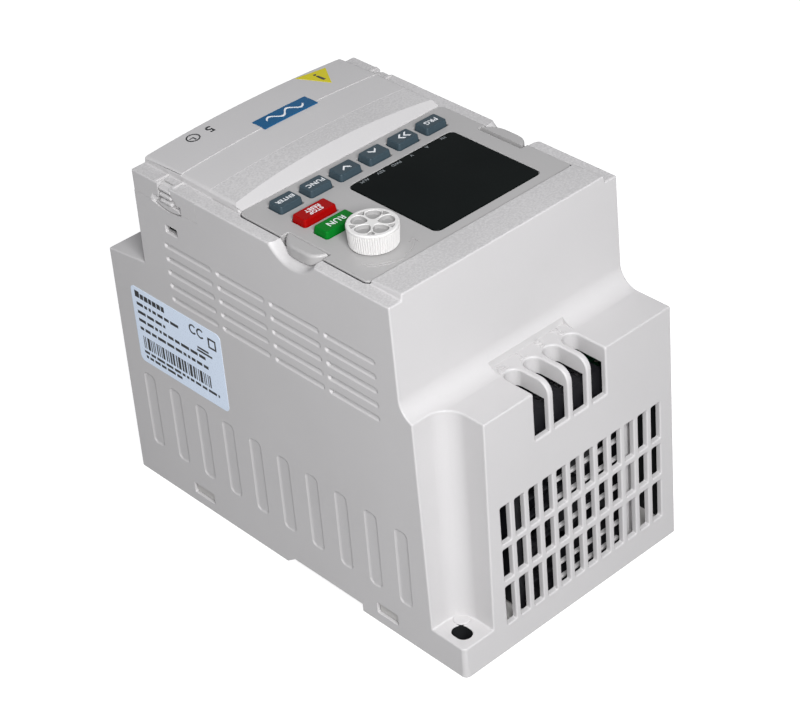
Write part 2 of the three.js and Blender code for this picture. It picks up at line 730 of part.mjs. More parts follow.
function terminalCover() {
  const far = SHOULDER_FAR_Y + 0.4;
  const skirt = box(-50, 50, far, SKIRT_Y - GAP, SKIRT_Z + GAP, STRIP_Z).intersect(sideEnvelope());
  const inside = join(
    coverTop(2.2).add(box(-39.2, 39.2, far + 2.2, -16, SKIRT_Z - 1, 124)),
    box(-INNER_X, INNER_X, far + 2.2, SKIRT_Y - 2.5, SKIRT_Z - 1, STRIP_Z - 2),
  );
  const belowFront = box(-60, 60, SKIRT_Y - GAP, 0, 100, 123.6);
  return cut(join(coverTop(0), skirt), inside, latchOpening(), mirrorX(latchOpening()), belowFront);
}

// Latch at the +X side: ridged pad, arm and hook, pivoting at the pad's top.
function coverLatch() {
  const half = LATCH.width / 2;
  const ridges = span(4).map((i) => {
    const z = 120.2 + i * 1.1;
    return box(46.5, 46.85, LATCH.y - half + 1, LATCH.y + half - 1, z, z + 0.55);
  });
  return join(
    box(42.3, 46.6, LATCH.y - half, LATCH.y + half, LATCH.padZ, 124.3),
    box(42.3, 44.1, LATCH.y - 2.5, LATCH.y + 2.5, 108.6, LATCH.padZ + 1),
    box(43.5, 45.5, LATCH.y - 2.4, LATCH.y + 2.4, LATCH.holeZ0 + GAP, LATCH.holeZ1 - GAP),
    ...ridges,
  );
}

function badge() {
  return box(-11, 11, -3.2, 3.2, 0, 0.3);
}

function cautionMark() {
  return extrude([[-6.2, -4.6], [6.2, -4.6], [0, 6.1]], "z", 0, 0.25);
}

function ratingLabel() {
  const { y0, y1, z0, z1, thickness } = LABEL;
  return extrude(roundedRect(y0, y1, z0, z1, 2), "x", 0, thickness, 3);
}

// ---------------------------------------------------------------- assembly
const casing = plastic(COLOURS.casing);
const black = plastic(COLOURS.black, 0.45);
const steel = metal(COLOURS.steel);
const boardGreen = plastic(COLOURS.board, 0.5);

const chassis = new THREE.Group();
chassis.add(
  part("main_housing", mainHousing(), casing),
  part("back_plate", backPlate(), plastic(COLOURS.base)),
  part("heatsink", heatsink(), metal(COLOURS.aluminium, 0.5)),
  part("fan_frame", fanFrame(), black),
  part("fan_guard", fanGuard(), casing),
  part("power_board", powerBoard(), boardGreen),
  part("power_module", powerModule(), black),
  part("rectifier_bridge", rectifierBridge(), black),
  part("control_board", controlBoard(), boardGreen),
  part("keypad_socket", keypadSocket(), black),
);

const onPowerBoard = POWER_BOARD_Z + BOARD + GAP;
const capacitorPaint = plastic(COLOURS.capacitor, 0.4);
[[-24, 22], [4, 22]].forEach(([x, y], i) => {
  chassis.add(part(`link_capacitor_${i + 1}`, capacitor(), capacitorPaint, x, y, onPowerBoard));
});
chassis.add(
  part("choke", choke(), plastic(COLOURS.ferrite), 30, 24, onPowerBoard),
  part("relay", box(-9, 9, -6, 6, 0, 16), plastic(COLOURS.relay), 28, -22, onPowerBoard),
);

// Terminal blocks with their screws, each in a group turned towards its own end.
function terminals(prefix, centres, middleY, turned) {
  const group = new THREE.Group();
  const middleX = (Math.min(...centres) + Math.max(...centres)) / 2;
  const offsets = centres.map((x) => x - middleX);
  group.position.set(middleX, middleY, onPowerBoard);
  if (turned) group.rotation.z = Math.PI;
  group.add(part(`${prefix}_terminal_block`, terminalBlock(offsets), black));
  offsets.forEach((x, i) => {
    const screwZ = TERMINAL.height - 5 + GAP;
    group.add(part(`${prefix}_screw_${i + 1}`, terminalScrew(), steel, x, -0.6, screwZ));
  });
  return group;
}

chassis.add(
  terminals("input", INPUT_SLOTS_X, 68.8, false),
  terminals("output", OUTPUT_SLOTS_X, -68.8, true),
  part(
    "control_terminal_block",
    controlTerminalBlock(),
    plastic(COLOURS.terminal),
    0,
    -50,
    CONTROL_BOARD_Z + BOARD + GAP,
  ),
);

const label = part("rating_label", ratingLabel(), plastic(COLOURS.label, 0.3));
label.position.x = HALF_W + 0.04;
label.rotation.y = -Math.atan(SIDE_DRAFT);
chassis.add(label);

const clip = part("din_clip", dinClip(), plastic(COLOURS.base));
const rotor = part("fan_rotor", fanRotor(), black);

const keypad = new THREE.Group();
keypad.add(
  part("keypad_housing", keypadHousing(), plastic(COLOURS.keypad, 0.5)),
  part("keypad_board", keypadBoard(), boardGreen),
  part("keypad_plug", keypadPlug(), black),
  part("key_mat", keyMat(), plastic(COLOURS.ferrite, 0.8)),
  part("display_window", displayWindow(), plastic(COLOURS.window, 0.08)),
  part("led_display", ledDisplay(), black),
  part("pot_body", potBody(), plastic(COLOURS.relay), KNOB.x, KNOB.y, KEYPAD_BOARD_Z + 1.2 + GAP),
  part("keypad_tab_right", keypadTab(), plastic(COLOURS.keypad, 0.5)),
  part("keypad_tab_left", mirrorX(keypadTab()), plastic(COLOURS.keypad, 0.5)),
);
for (const key of KEYS) {
  const paint = plastic(key.colour ?? COLOURS.key, 0.5);
  keypad.add(part(key.name, keyCap(key.length), paint, key.x, key.y, KEYPAD.topZ));
}

const dial = new THREE.Group();
dial.position.set(KNOB.x, KNOB.y, 0);
dial.add(
  part("pot_shaft", cylinder(3, "z", KEYPAD_BOARD_Z + 4.2, KNOB.z1 - 2.4, 0, 0), steel),
  part("knob", knob(), plastic(COLOURS.knob, 0.4), 0, 0, KNOB.z0),
);
keypad.add(dial);

const cover = new THREE.Group();
cover.add(
  part("terminal_cover", terminalCover(), casing),
  part("cover_latch_right", coverLatch(), casing),
  part("cover_latch_left", mirrorX(coverLatch()), casing),
);
const badgePlate = part("badge", badge(), plastic(COLOURS.badge, 0.3), -3, -43.1, 131.05);
badgePlate.rotation.x = Math.atan(COVER.slope);
const caution = part("caution_mark", cautionMark(), plastic(COLOURS.caution, 0.4), -27.8, -53, 129.6);
caution.rotation.set(Math.atan(COVER.slope), -0.055, 0);
cover.add(badgePlate, caution);

const drive = new THREE.Group();
drive.add(chassis, clip, rotor, keypad, cover);

export default drive;
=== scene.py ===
import math
from math import cos, radians, sin, sqrt

import bmesh
import bpy
from mathutils import Matrix, Vector


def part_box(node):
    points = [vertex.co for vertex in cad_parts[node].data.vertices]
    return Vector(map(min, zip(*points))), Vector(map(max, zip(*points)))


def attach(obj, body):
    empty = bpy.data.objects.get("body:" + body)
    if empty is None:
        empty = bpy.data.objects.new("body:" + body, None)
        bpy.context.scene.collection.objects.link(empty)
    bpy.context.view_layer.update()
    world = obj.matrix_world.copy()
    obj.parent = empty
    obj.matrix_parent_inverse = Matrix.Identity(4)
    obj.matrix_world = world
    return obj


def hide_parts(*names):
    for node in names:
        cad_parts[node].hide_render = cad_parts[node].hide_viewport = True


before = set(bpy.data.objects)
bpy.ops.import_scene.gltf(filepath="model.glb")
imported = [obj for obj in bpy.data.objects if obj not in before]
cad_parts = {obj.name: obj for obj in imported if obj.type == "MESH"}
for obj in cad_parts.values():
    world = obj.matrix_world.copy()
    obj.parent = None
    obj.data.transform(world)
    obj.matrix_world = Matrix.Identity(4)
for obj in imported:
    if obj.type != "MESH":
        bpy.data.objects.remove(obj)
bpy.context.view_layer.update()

# Compact variable frequency drive. Shapes are written in millimetres in the frame of the
# CAD model and scaled to metres when they are finished.
MM = 0.001

# ---------------- sizes, in millimetres
def span(node):
    """Lowest and highest corner of a CAD node at rest."""
    return [[round(value / MM, 2) for value in corner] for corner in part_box(node)]


def middle(node, axis):
    """Middle of a CAD node along x (0), y (1) or z (2)."""
    low, high = span(node)
    return round((low[axis] + high[axis]) / 2, 2)


# Housing: drafted walls, ledges at both ends, a strip along the top and the plateau behind it
_, (HALF_W, HALF_L, PLATEAU_Z) = span("main_housing")
SIDE_DRAFT, END_DRAFT = 0.005, 0.00903
LEDGE_Z, SHOULDER_Y, FILLET = 88.6, 59.1, 7.0
STRIP_Z, STEP_X, PLATEAU_Y = 126.8, 41.9, 45.2
WALL_X, WALL_END = 44.5, 79.24
FOOT_X, FOOT_Y, FOOT_Z = 41.9, 73.2, 11.8
HOLE_X, HOLE_Y = 2.75, 3.5
DUCT_TOP = 70
VENT_ROWS = ((10.2, 25.0), (27.4, 39.4), (41.5, 55.5))

# Wire slots, one over each terminal screw
INPUT_SLOTS = [middle(f"input_screw_{i}", 0) for i in (1, 2, 3, 4)]
OUTPUT_SLOTS = [middle(f"output_screw_{i}", 0) for i in (5, 4, 3, 2, 1)]
SLOT_HALF, SLOT_END, SLOT_FLOOR, SLOT_LIP = 3.025, 68.425, 71.5, 0.6
EDGE_ROUND, CREST_ROUND = 0.9, 4.5
RIB_Z = 82.7

# Terminal cover: a crowned top with a crease, a skirt along each side, and the latches
(_, COVER_FAR, SKIRT_Z), (_, COVER_FRONT, COVER_TOP) = span("terminal_cover")
COVER_HALF, CROWN_HALF, CROWN, SHOULDER = 41.7, 41.4, 1.7, 1.3
SKIRT_Y, CREASE_Y = -28.3, -41.3
REAR_SLOPE, REAR_STEP = 0.035, 0.25
SEAM = 0.08
LATCH_Y = middle("cover_latch_right", 1)
LATCH_Y0, LATCH_Y1 = LATCH_Y - 3.85, LATCH_Y + 4.35

# Keypad, with its window, keys, thumb scoops and knob
(_, KEYPAD_FRONT, _), (_, _, KEYPAD_TOP) = span("keypad_housing")
WINDOW = (-33.2, 11.0, 1.2, 40.5)
KEY_FLANGE, KEY_GAP = 0.8, 0.28
SCOOP_Y = middle("keypad_tab_right", 1)
KNOB_X, KNOB_Y = middle("knob", 0), middle("knob", 1)
(_, _, KNOB_FOOT), (_, _, KNOB_TOP) = span("knob")
PETAL_TURN = radians(-136)

SIDES = ((1, "right"), (-1, "left"))


# ---------------- outlines and lofts
def arc(u, v, radius, start, end, steps):
    """Points of an arc, angles in degrees."""
    angles = [radians(start + (end - start) * i / steps) for i in range(steps + 1)]
    return [(u + radius * cos(a), v + radius * sin(a)) for a in angles]


def rounded(u0, u1, v0, v1, radius, grow=0.0, steps=5):
    """Rounded rectangle, grown outwards by an amount."""
    u0, u1, v0, v1 = u0 - grow, u1 + grow, v0 - grow, v1 + grow
    r = max(min(radius + grow, (u1 - u0) / 2 - 1e-3, (v1 - v0) / 2 - 1e-3), 0.02)
    return (
        arc(u1 - r, v0 + r, r, -90, 0, steps)
        + arc(u1 - r, v1 - r, r, 0, 90, steps)
        + arc(u0 + r, v1 - r, r, 90, 180, steps)
        + arc(u0 + r, v0 + r, r, 180, 270, steps)
    )


def rect(u0, u1, v0, v1):
    return [(u0, v0), (u1, v0), (u1, v1), (u0, v1)]


def circle(u, v, radius, steps):
    return arc(u, v, radius, 0, 360, steps)[:-1]


def ring(outline, axis, depth):
    """An outline set in space: (y, z) across x, (x, z) across y, (x, y) across z."""
    if axis == "x":
        return [(depth, u, v) for u, v in outline]
    if axis == "y":
        return [(u, depth, v) for u, v in outline]
    return [(u, v, depth) for u, v in outline]


def prism(outline, axis, start, end):
    return [ring(outline, axis, start), ring(outline, axis, end)]


def box(x0, x1, y0, y1, z0, z1):
    return prism(rect(x0, x1, y0, y1), "z", z0, z1)


def tube(u, v, radius, axis, start, end, steps):
    return prism(circle(u, v, radius, steps), axis, start, end)


def quarter(surface, inward, radius, steps):
    """(depth, growth) pairs of a quarter round, from the plain wall to the surface."""
    angles = [radians(90 * i / steps) for i in range(steps + 1)]
    return [(surface + inward * radius * (1 - sin(a)), radius * (1 - cos(a))) for a in angles]


def pocket(outline, axis, floor, surface, lip, over=3.0):
    """A cutter with a rounded mouth. outline(grow) gives its section."""
    inward = 1 if floor > surface else -1
    stations = [(floor, 0.0), *quarter(surface, inward, lip, 3), (surface - inward * over, lip)]
    return [ring(outline(grow), axis, depth) for depth, grow in stations]


def boss(outline, axis, base, top, edge, steps=4):
    """A raised shape with rounded top edges."""
    inward = -1 if top > base else 1
    stations = [(base, 0.0), *quarter(top, inward, edge, steps)]
    return [ring(outline(-grow), axis, depth) for depth, grow in stations]


def moved(loft, change):
    return [[change(*point) for point in points] for points in loft]


def mirrored(lofts):
    return [moved(loft, lambda x, y, z: (-x, y, z)) for loft in lofts]


def both_sides(lofts):
    return [*lofts, *mirrored(lofts)]


def on_side(side, lofts):
    """Lofts drawn at the +X side, kept there or mirrored to the -X side."""
    return lofts if side > 0 else mirrored(lofts)


def both_ends(lofts):
    """Lofts drawn at the +Y end, and the same after half a turn."""
    return [*lofts, *[moved(loft, lambda x, y, z: (-x, -y, z)) for loft in lofts]]


def side_draft(x, y, z):
    return (x - math.copysign(SIDE_DRAFT * z, x), y, z)


def end_draft(x, y, z):
    return (x, y - END_DRAFT * z, z)


# ---------------- mesh tools
def placed(name, data):
    """A new object in the scene."""
    obj = bpy.data.objects.new(name, data)
    bpy.context.scene.collection.objects.link(obj)
    return obj


def mesh_object(name, lofts):
    """One object from lofts, each a closed skin through rings with flat ends."""
    bm = bmesh.new()
    for loft in lofts:
        rings = [[bm.verts.new(point) for point in points] for points in loft]
        count = len(rings[0])
        for lower, upper in zip(rings, rings[1:]):
            for i in range(count):
                j = (i + 1) % count
                bm.faces.new((lower[i], lower[j], upper[j], upper[i]))
        bm.faces.new(rings[0][::-1])
        bm.faces.new(rings[-1])
    bmesh.ops.recalc_face_normals(bm, faces=bm.faces)
    mesh = bpy.data.meshes.new(name)
    bm.to_mesh(mesh)
    bm.free()
    return placed(name, mesh)


def settle(obj):
    """Applies the object's modifiers."""
    graph = bpy.context.evaluated_depsgraph_get()
    mesh = bpy.data.meshes.new_from_object(obj.evaluated_get(graph))
    obj.modifiers.clear()
    obj.data = mesh


def carve(obj, lofts, operation="DIFFERENCE"):
    """Cuts, joins or intersects with lofts that don't touch each other."""
    tool = lofts if isinstance(lofts, bpy.types.Object) else mesh_object("tool", lofts)
    modifier = obj.modifiers.new("carve", "BOOLEAN")
    modifier.operation = operation
    modifier.solver = "MANIFOLD"
    modifier.object = tool
    before = len(obj.data.polygons)
    settle(obj)
    bpy.data.objects.remove(tool)
    if len(obj.data.polygons) == before:
        print("CARVE made no change:", obj.name, before)


def soften(obj, width, segments=3):
    """Rounds every edge sharper than 28 degrees."""
    modifier = obj.modifiers.new("soften", "BEVEL")
    modifier.width = width
    modifier.segments = segments
    modifier.limit_method = "ANGLE"
    modifier.angle_limit = radians(28)
    modifier.use_clamp_overlap = False
    settle(obj)


def polish(obj, material, body, replaced=(), sharp=35):
    """Scales a finished shape to metres, shades it and sets it on its body."""
    obj.data.transform(Matrix.Scale(MM, 4))
    for polygon in obj.data.polygons:
        polygon.use_smooth = True
    obj.data.set_sharp_from_angle(angle=radians(sharp))
    obj.data.materials.clear()
    obj.data.materials.append(material)
    normals = obj.modifiers.new("normals", "WEIGHTED_NORMAL")
    normals.keep_sharp = True
    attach(obj, body)
    if replaced:
        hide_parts(*replaced)
    return obj


def shape(name, lofts, material, body, replaced=()):
    return polish(mesh_object(name, lofts), material, body, replaced)


def lettering(
    name, text, size, x, y, z, material, body, slot, height=0.06, spacing=1.0, bold=0.0, lift=None
):
    """Raised lettering centred on a point, read from +Z with +Y up; lift(x, y) adds a height."""
    curve = bpy.data.curves.new(name, "FONT")
    curve.body = text
    curve.size = size
    curve.extrude = height
    curve.offset = bold
    curve.space_character = spacing
    curve.align_x = "CENTER"
    curve.align_y = "CENTER"
    curve.space_line = 0.85
    source = placed(name + "_curve", curve)
    graph = bpy.context.evaluated_depsgraph_get()
    mesh = bpy.data.meshes.new_from_object(source.evaluated_get(graph))
    bpy.data.objects.remove(source)
    mesh.transform(Matrix.Translation((x, y, z)))
    if lift:
        for vertex in mesh.vertices:
            vertex.co.z += lift(vertex.co.x, vertex.co.y)
    mesh.name = name
    return polish(placed(name, mesh), material, body)


# ---------------- materials
class Nodes:
    """Shorthand for building a material's node tree."""

    def __init__(self, name):
        self.material = bpy.data.materials.new(name)
        self.material.use_nodes = True
        self.tree = self.material.node_tree
        self.shader = self.tree.nodes["Principled BSDF"]
        self.place = self.tree.nodes.new("ShaderNodeTexCoord").outputs["Object"]

    def feed(self, socket, value):
        """Links another node's output to a socket, or sets its plain value."""
        if isinstance(value, bpy.types.NodeSocket):
            self.tree.links.new(value, socket)
        else:
            socket.default_value = value

    def add(self, kind, **inputs):
        node = self.tree.nodes.new(kind)
        for key, value in inputs.items():
            self.feed(node.inputs[key.replace("_", " ")], value)
        return node

    def noise(self, scale, detail=2.0, roughness=0.5, place=None):
        node = self.add("ShaderNodeTexNoise", Scale=scale, Detail=detail, Roughness=roughness)
        self.feed(node.inputs["Vector"], place or self.place)
        return node.outputs["Fac"]

    def ramp(self, factor, stops):
        node = self.add("ShaderNodeValToRGB", Fac=factor)
        elements = node.color_ramp.elements
        while len(elements) < len(stops):
            elements.new(0.5)
        for element, (position, value) in zip(elements, stops):
            element.position = position
            element.color = value if isinstance(value, tuple) else (value, value, value, 1)
        return node.outputs["Color"]

    def math(self, operation, a, b):
        node = self.tree.nodes.new("ShaderNodeMath")
        node.operation = operation
        self.feed(node.inputs[0], a)
        self.feed(node.inputs[1], b)
        return node.outputs[0]

    def bump(self, height, strength, distance):
        node = self.add("ShaderNodeBump", Height=height, Strength=strength, Distance=distance)
        return node.outputs["Normal"]

    def into(self, **inputs):
        """Sets the shader's inputs and returns the material."""
        for key, value in inputs.items():
            self.feed(self.shader.inputs[key.replace("_", " ")], value)
        return self.material


def shade(colour, factor):
    return (colour[0] * factor, colour[1] * factor, colour[2] * factor, 1.0)


def moulded(
    name, colour, rough, grain, depth=0.00002, strength=0.25, spread=0.04, speckle=0.0, gloss=0.5
):
    """Moulded plastic: slow tone drift, fine grain in colour, roughness and height."""
    n = Nodes(name)
    drift = n.noise(22, 3)
    fine = n.noise(grain, 2, 0.6)
    grain_tone = n.math("MULTIPLY", n.math("SUBTRACT", fine, 0.5), 0.4 + speckle)
    mix = n.math("ADD", n.math("MULTIPLY", drift, 0.6), grain_tone)
    low, high = shade(colour, 1 - spread), shade(colour, 1 + spread)
    base = n.ramp(mix, [(0.15, low), (0.45, high)])
    roughness = n.ramp(fine, [(0.3, rough - 0.06), (0.7, rough + 0.08)])
    coarse = n.noise(grain * 0.28, 1)
    height = n.math("ADD", fine, n.math("MULTIPLY", coarse, 0.6))
    normal = n.bump(height, strength, depth)
    return n.into(Base_Color=base, Roughness=roughness, Normal=normal, Specular_IOR_Level=gloss)


def printed(name, colour):
    """A thin printed ink film."""
    n = Nodes(name)
    speck = n.noise(4200, 2)
    base = n.ramp(speck, [(0.3, shade(colour, 0.9)), (0.7, shade(colour, 1.06))])
    return n.into(Base_Color=base, Roughness=n.ramp(speck, [(0.3, 0.4), (0.7, 0.53)]))


def metal(name, colour, rough, direction=(1, 1, 1)):
    """Brushed or plated metal with streaks along one direction."""
    n = Nodes(name)
    stretch = n.add("ShaderNodeMapping", Vector=n.place, Scale=direction)
    lines = n.noise(900, 3, 0.6, stretch.outputs["Vector"])
    cloud = n.noise(60, 3)
    base = n.ramp(cloud, [(0.3, shade(colour, 0.86)), (0.7, shade(colour, 1.05))])
    roughness = n.ramp(lines, [(0.3, rough - 0.08), (0.7, rough + 0.15)])
    return n.into(
        Base_Color=base, Roughness=roughness, Metallic=1.0, Normal=n.bump(lines, 0.3, 0.00003)
    )


def circuit_board(name):
    """Solder mask over copper tracks, with pads."""
    n = Nodes(name)
    tracks = n.add("ShaderNodeTexBrick", Scale=120.0, Vector=n.place)
    tracks.inputs["Mortar Size"].default_value = 0.03
    cells = n.add("ShaderNodeTexVoronoi", Scale=260.0, Vector=n.place)
    pads = n.ramp(cells.outputs["Distance"], [(0.16, 1.0), (0.2, 0.0)])
    copper = n.math("MAXIMUM", n.ramp(tracks.outputs["Fac"], [(0.4, 0.0), (0.6, 0.4)]), pads)
    base = n.ramp(
        copper,
        [(0.0, (0.012, 0.085, 0.04, 1)), (0.4, (0.03, 0.19, 0.09, 1)), (1.0, (0.5, 0.48, 0.4, 1))],
    )
    return n.into(Base_Color=base, Roughness=0.35, Normal=n.bump(copper, 0.4, 0.00004))


def sleeve(name):
    """Capacitor sleeve with one pale stripe down its side."""
    n = Nodes(name)
    wave = n.add("ShaderNodeTexWave", Scale=9.0, Vector=n.place)
    stripe = n.ramp(wave.outputs["Fac"], [(0.9, 0.0), (0.93, 1.0)])
    speck = n.noise(1500, 2)
    base = n.ramp(stripe, [(0.0, (0.02, 0.03, 0.05, 1)), (1.0, (0.45, 0.47, 0.5, 1))])
    return n.into(Base_Color=base, Roughness=n.ramp(speck, [(0.3, 0.25), (0.7, 0.4)]), Coat_Weight=0.3)


def lens(name):
    """Dark polished acrylic."""
    n = Nodes(name)
    cloud = n.noise(40, 2)
    base = n.ramp(cloud, [(0.3, (0.0022, 0.0036, 0.0034, 1)), (0.7, (0.0036, 0.0054, 0.005, 1))])
    roughness = n.ramp(n.noise(300, 2), [(0.3, 0.12), (0.7, 0.135)])
    return n.into(Base_Color=base, Roughness=roughness, Specular_IOR_Level=0.1)


CASING = (0.54, 0.531, 0.53)
casing = moulded("casing", CASING, 0.5, 2400, strength=0.22, spread=0.025)
grained = moulded("casing_grain", CASING, 0.46, 1500, depth=0.00006, strength=0.55, spread=0.09, speckle=0.8)
keypad_plastic = moulded("keypad_plastic", (0.405, 0.399, 0.395), 0.42, 2800, strength=0.15, spread=0.02)
base_plastic = moulded("base_plastic", (0.49, 0.48, 0.465), 0.55, 2000, strength=0.3)
key_grey = moulded("key_slate", (0.038, 0.062, 0.078), 0.42, 2600, strength=0.3, spread=0.1, gloss=0.3)
key_red = moulded("key_red", (0.31, 0.001, 0.001), 0.42, 2600, strength=0.2, spread=0.06, gloss=0.1)
key_green = moulded("key_green", (0.001, 0.16, 0.014), 0.42, 2600, strength=0.2, spread=0.06, gloss=0.1)
knob_plastic = moulded("knob_plastic", (0.69, 0.682, 0.67), 0.36, 2600, strength=0.12, spread=0.02)
# Darker grey painted on the knob's recess floors and walls as painted shade, with a rougher finish.
knob_recess_shade = moulded("knob_recess_shade", (0.33, 0.326, 0.322), 0.6, 2000, strength=0.3, spread=0.04, gloss=0.2)
# Near-black painted shade for the inner faces of the air duct and the foot holes.
duct_painted_shade = moulded("duct_painted_shade", (0.012, 0.013, 0.014), 0.75, 2000, strength=0.3, spread=0.15, gloss=0.15)
black_plastic = moulded("black_plastic", (0.01, 0.01, 0.012), 0.5, 2000, strength=0.35, spread=0.2, gloss=0.2)
green_plastic = moulded("green_plastic", (0.02, 0.17, 0.06), 0.42, 2000, spread=0.06)
blue_plastic = moulded("blue_plastic", (0.02, 0.06, 0.16), 0.35, 2000, spread=0.06)
ferrite = moulded("ferrite", (0.03, 0.032, 0.035), 0.6, 900, depth=0.0001, strength=0.6, spread=0.2)
rubber = moulded("rubber", (0.02, 0.02, 0.022), 0.75, 1500, spread=0.15)
label_film = moulded("label_film", (0.73, 0.835, 0.98), 0.3, 1800, strength=0.06, spread=0.015, gloss=0.3)
badge_film = moulded("badge_film", (0.007, 0.092, 0.22), 0.4, 1800, strength=0.06, spread=0.06, gloss=0.12)
caution_film = moulded("caution_film", (0.64, 0.56, 0.01), 0.45, 1800, strength=0.06, spread=0.04, gloss=0.15)
ink_white = printed("ink_white", (0.8, 0.82, 0.84))
ink_grey = printed("ink_grey", (0.22, 0.24, 0.25))
ink_dark = printed("ink_dark", (0.025, 0.027, 0.03))
anodised = metal("anodised_aluminium", (0.045, 0.047, 0.05), 0.45, (1, 0.04, 1))
steel = metal("plated_steel", (0.62, 0.62, 0.63), 0.28)
board = circuit_board("solder_mask")
capacitor_skin = sleeve("capacitor_sleeve")
glass = lens("display_acrylic")


# ---------------- main housing
def foot_outline(grow):
    r = 7.0 + grow
    x, y = 34.9 - grow, 65.8 - grow
    return [(110, 110), (x, 110), *arc(x + r, y + r, r, 180, 270, 10), (110, y)]


def foot_recess(grow, z0, z1):
    """Corner recess above a mounting foot, opening a little towards the top."""
    loft = prism(foot_outline(grow), "z", z0, z1)
    return moved(loft, lambda x, y, z: (x - 0.023 * (z - FOOT_Z), y - 0.023 * (z - FOOT_Z), z))


def scoop_section(half, bottom, power):
    """Cross-section of a thumb scoop in (y, z): a bowl, open at the top."""
    points = []
    for i in range(41):
        t = i / 20 - 1
        points.append((SCOOP_Y + half * t, bottom + (STRIP_Z - bottom) * abs(t) ** power))
    return [*points, (SCOOP_Y + half, 140), (SCOOP_Y - half, 140)]


def housing_blank():
    fillet = arc(SHOULDER_Y + FILLET, LEDGE_Z + FILLET, FILLET, 270, 180, 12)
    outline = [(-HALF_L, 0), (HALF_L, 0), (HALF_L - 0.8, LEDGE_Z), *fillet]
    outline += [(SHOULDER_Y - 0.96, PLATEAU_Z), (PLATEAU_Y, 128.2), (PLATEAU_Y, STRIP_Z)]
    outline += [(COVER_FAR, STRIP_Z), (COVER_FAR - 0.4, 92.2), (1 - HALF_L, 89.8)]
    blank = mesh_object("housing_shell", [moved(prism(outline, "x", -HALF_W, HALF_W), side_draft)])
    corner = arc(HALF_W - 2, HALF_L - 2, 2, 0, 90, 6)
    trim = prism([*corner, (HALF_W - 2, 90), (60, 90), (60, HALF_L - 2)], "z", -1, 30)
    carve(blank, both_ends([trim]))
    step = [(STEP_X - 1.1, 135), (STEP_X, STRIP_Z), (60, STRIP_Z), (60, 135)]
    carve(blank, both_sides([prism(step, "y", PLATEAU_Y, 70)]))
    carve(blank, both_ends([foot_recess(0, FOOT_Z, 110)]))
    soften(blank, 0.55)
    stations = (
        (42.6, 9.3, 123.5, 3.5),
        (44.7, 9.35, 123.4, 3.5),
        (45.7, 9.7, 122.8, 2.7),
        (46.3, 10.1, 122.2, 2.3),
        (46.65, 10.5, 121.8, 2.2),
        (46.9, 11.2, 121.1, 2.2),
        (60, 11.2, 121.1, 2.2),
    )
    scoop = [ring(scoop_section(*bowl), "x", x) for x, *bowl in stations]
    carve(blank, both_sides([scoop]))
    return blank


def cavity():
    outline = [(-78.2, -1), (78.2, -1), (77.4, 86.2), (-77.1, 87.2)]
    room = mesh_object("room", [prism(outline, "x", -WALL_X, WALL_X)])
    carve(room, both_ends([foot_recess(2.4, -2, 110)]))
    return room


def vents():
    lofts = []
    for column in range(12):
        x = 26.9 - 6.03 * column
        for z0, z1 in VENT_ROWS:
            outline = lambda g: rounded(x - 2, x + 2, z0, z1, 0.45, g, 3)
            lofts.append(moved(pocket(outline, "y", 74, HALF_L, 0.45), end_draft))
    return lofts


def slot_band(x, left, right):
    """Rounded lips of one wire slot, following the ledge, the corner and the end wall."""
    lip = quarter(0, 1, SLOT_LIP, 3)
    sides = [(-SLOT_HALF - out, depth, left) for depth, out in reversed(lip)]
    sides += [(SLOT_HALF + out, depth, right) for depth, out in lip]
    loft = []
    for offset, depth, radius in sides:
        corner = arc(WALL_END - radius, LEDGE_Z - radius, radius - depth, 90, 0, 8)
        outline = [(SLOT_END, LEDGE_Z - depth), *corner, (WALL_END + 0.06 - depth, 76)]
        outline += [(95, 76), (95, 105), (SLOT_END, 105)]
        loft.append(ring(outline, "x", x + offset))
    return loft


def wire_slots(centres, place):
    """Cutters for a row of wire slots, in groups that don't touch each other."""
    rounds = [EDGE_ROUND] + [EDGE_ROUND if place else CREST_ROUND] * (len(centres) - 1)
    bands = [slot_band(*band) for band in zip(centres, reversed(rounds), rounds)]
    column = lambda x: lambda g: circle(x, SLOT_END, SLOT_HALF + g, 32)
    columns = [pocket(column(x), "z", 76, LEDGE_Z, SLOT_LIP, 10) for x in centres]
    deep = [(SLOT_END, 76), (76, 76), (76, SLOT_FLOOR), (95, SLOT_FLOOR), (95, 105), (SLOT_END, 105)]
    wells = [prism(deep, "x", x - SLOT_HALF, x + SLOT_HALF) for x in centres]
    mouths = []
    for x in centres:
        outline = lambda g: rounded(x - SLOT_HALF, x + SLOT_HALF, SLOT_FLOOR, 84, 0.3, g, 3)
        mouths.append(moved(pocket(outline, "y", 74, HALF_L, SLOT_LIP), end_draft))
    groups = [wells, columns, bands, mouths]
    if place:
        groups = [[moved(loft, place) for loft in group] for group in groups]
    return groups


def far_ledge(x, y, z):
    """Places a slot cutter at the far end, whose ledge slopes up towards the middle."""
    lift = 1.2 + 0.1257 * (79 - y) if z > 85 else 0
    return (-x, -y, z + lift)


def shallow(section, floor, slope, inset=0.45):
    """A cutter with slanted walls and a rounded mouth in the +X side wall."""
    stations = [(floor, -inset), (HALF_W - 0.16, 0), (HALF_W - 0.05, 0.12)]
    stations += [(HALF_W, 0.36), (HALF_W + 3, 0.36)]
    loft = [ring(section(grow), "x", x) for x, grow in stations]
    tilted = lambda x, y, z: (x + (slope(y, z) if x < HALF_W - 0.3 else 0), y, z)
    return moved(moved(loft, tilted), side_draft)


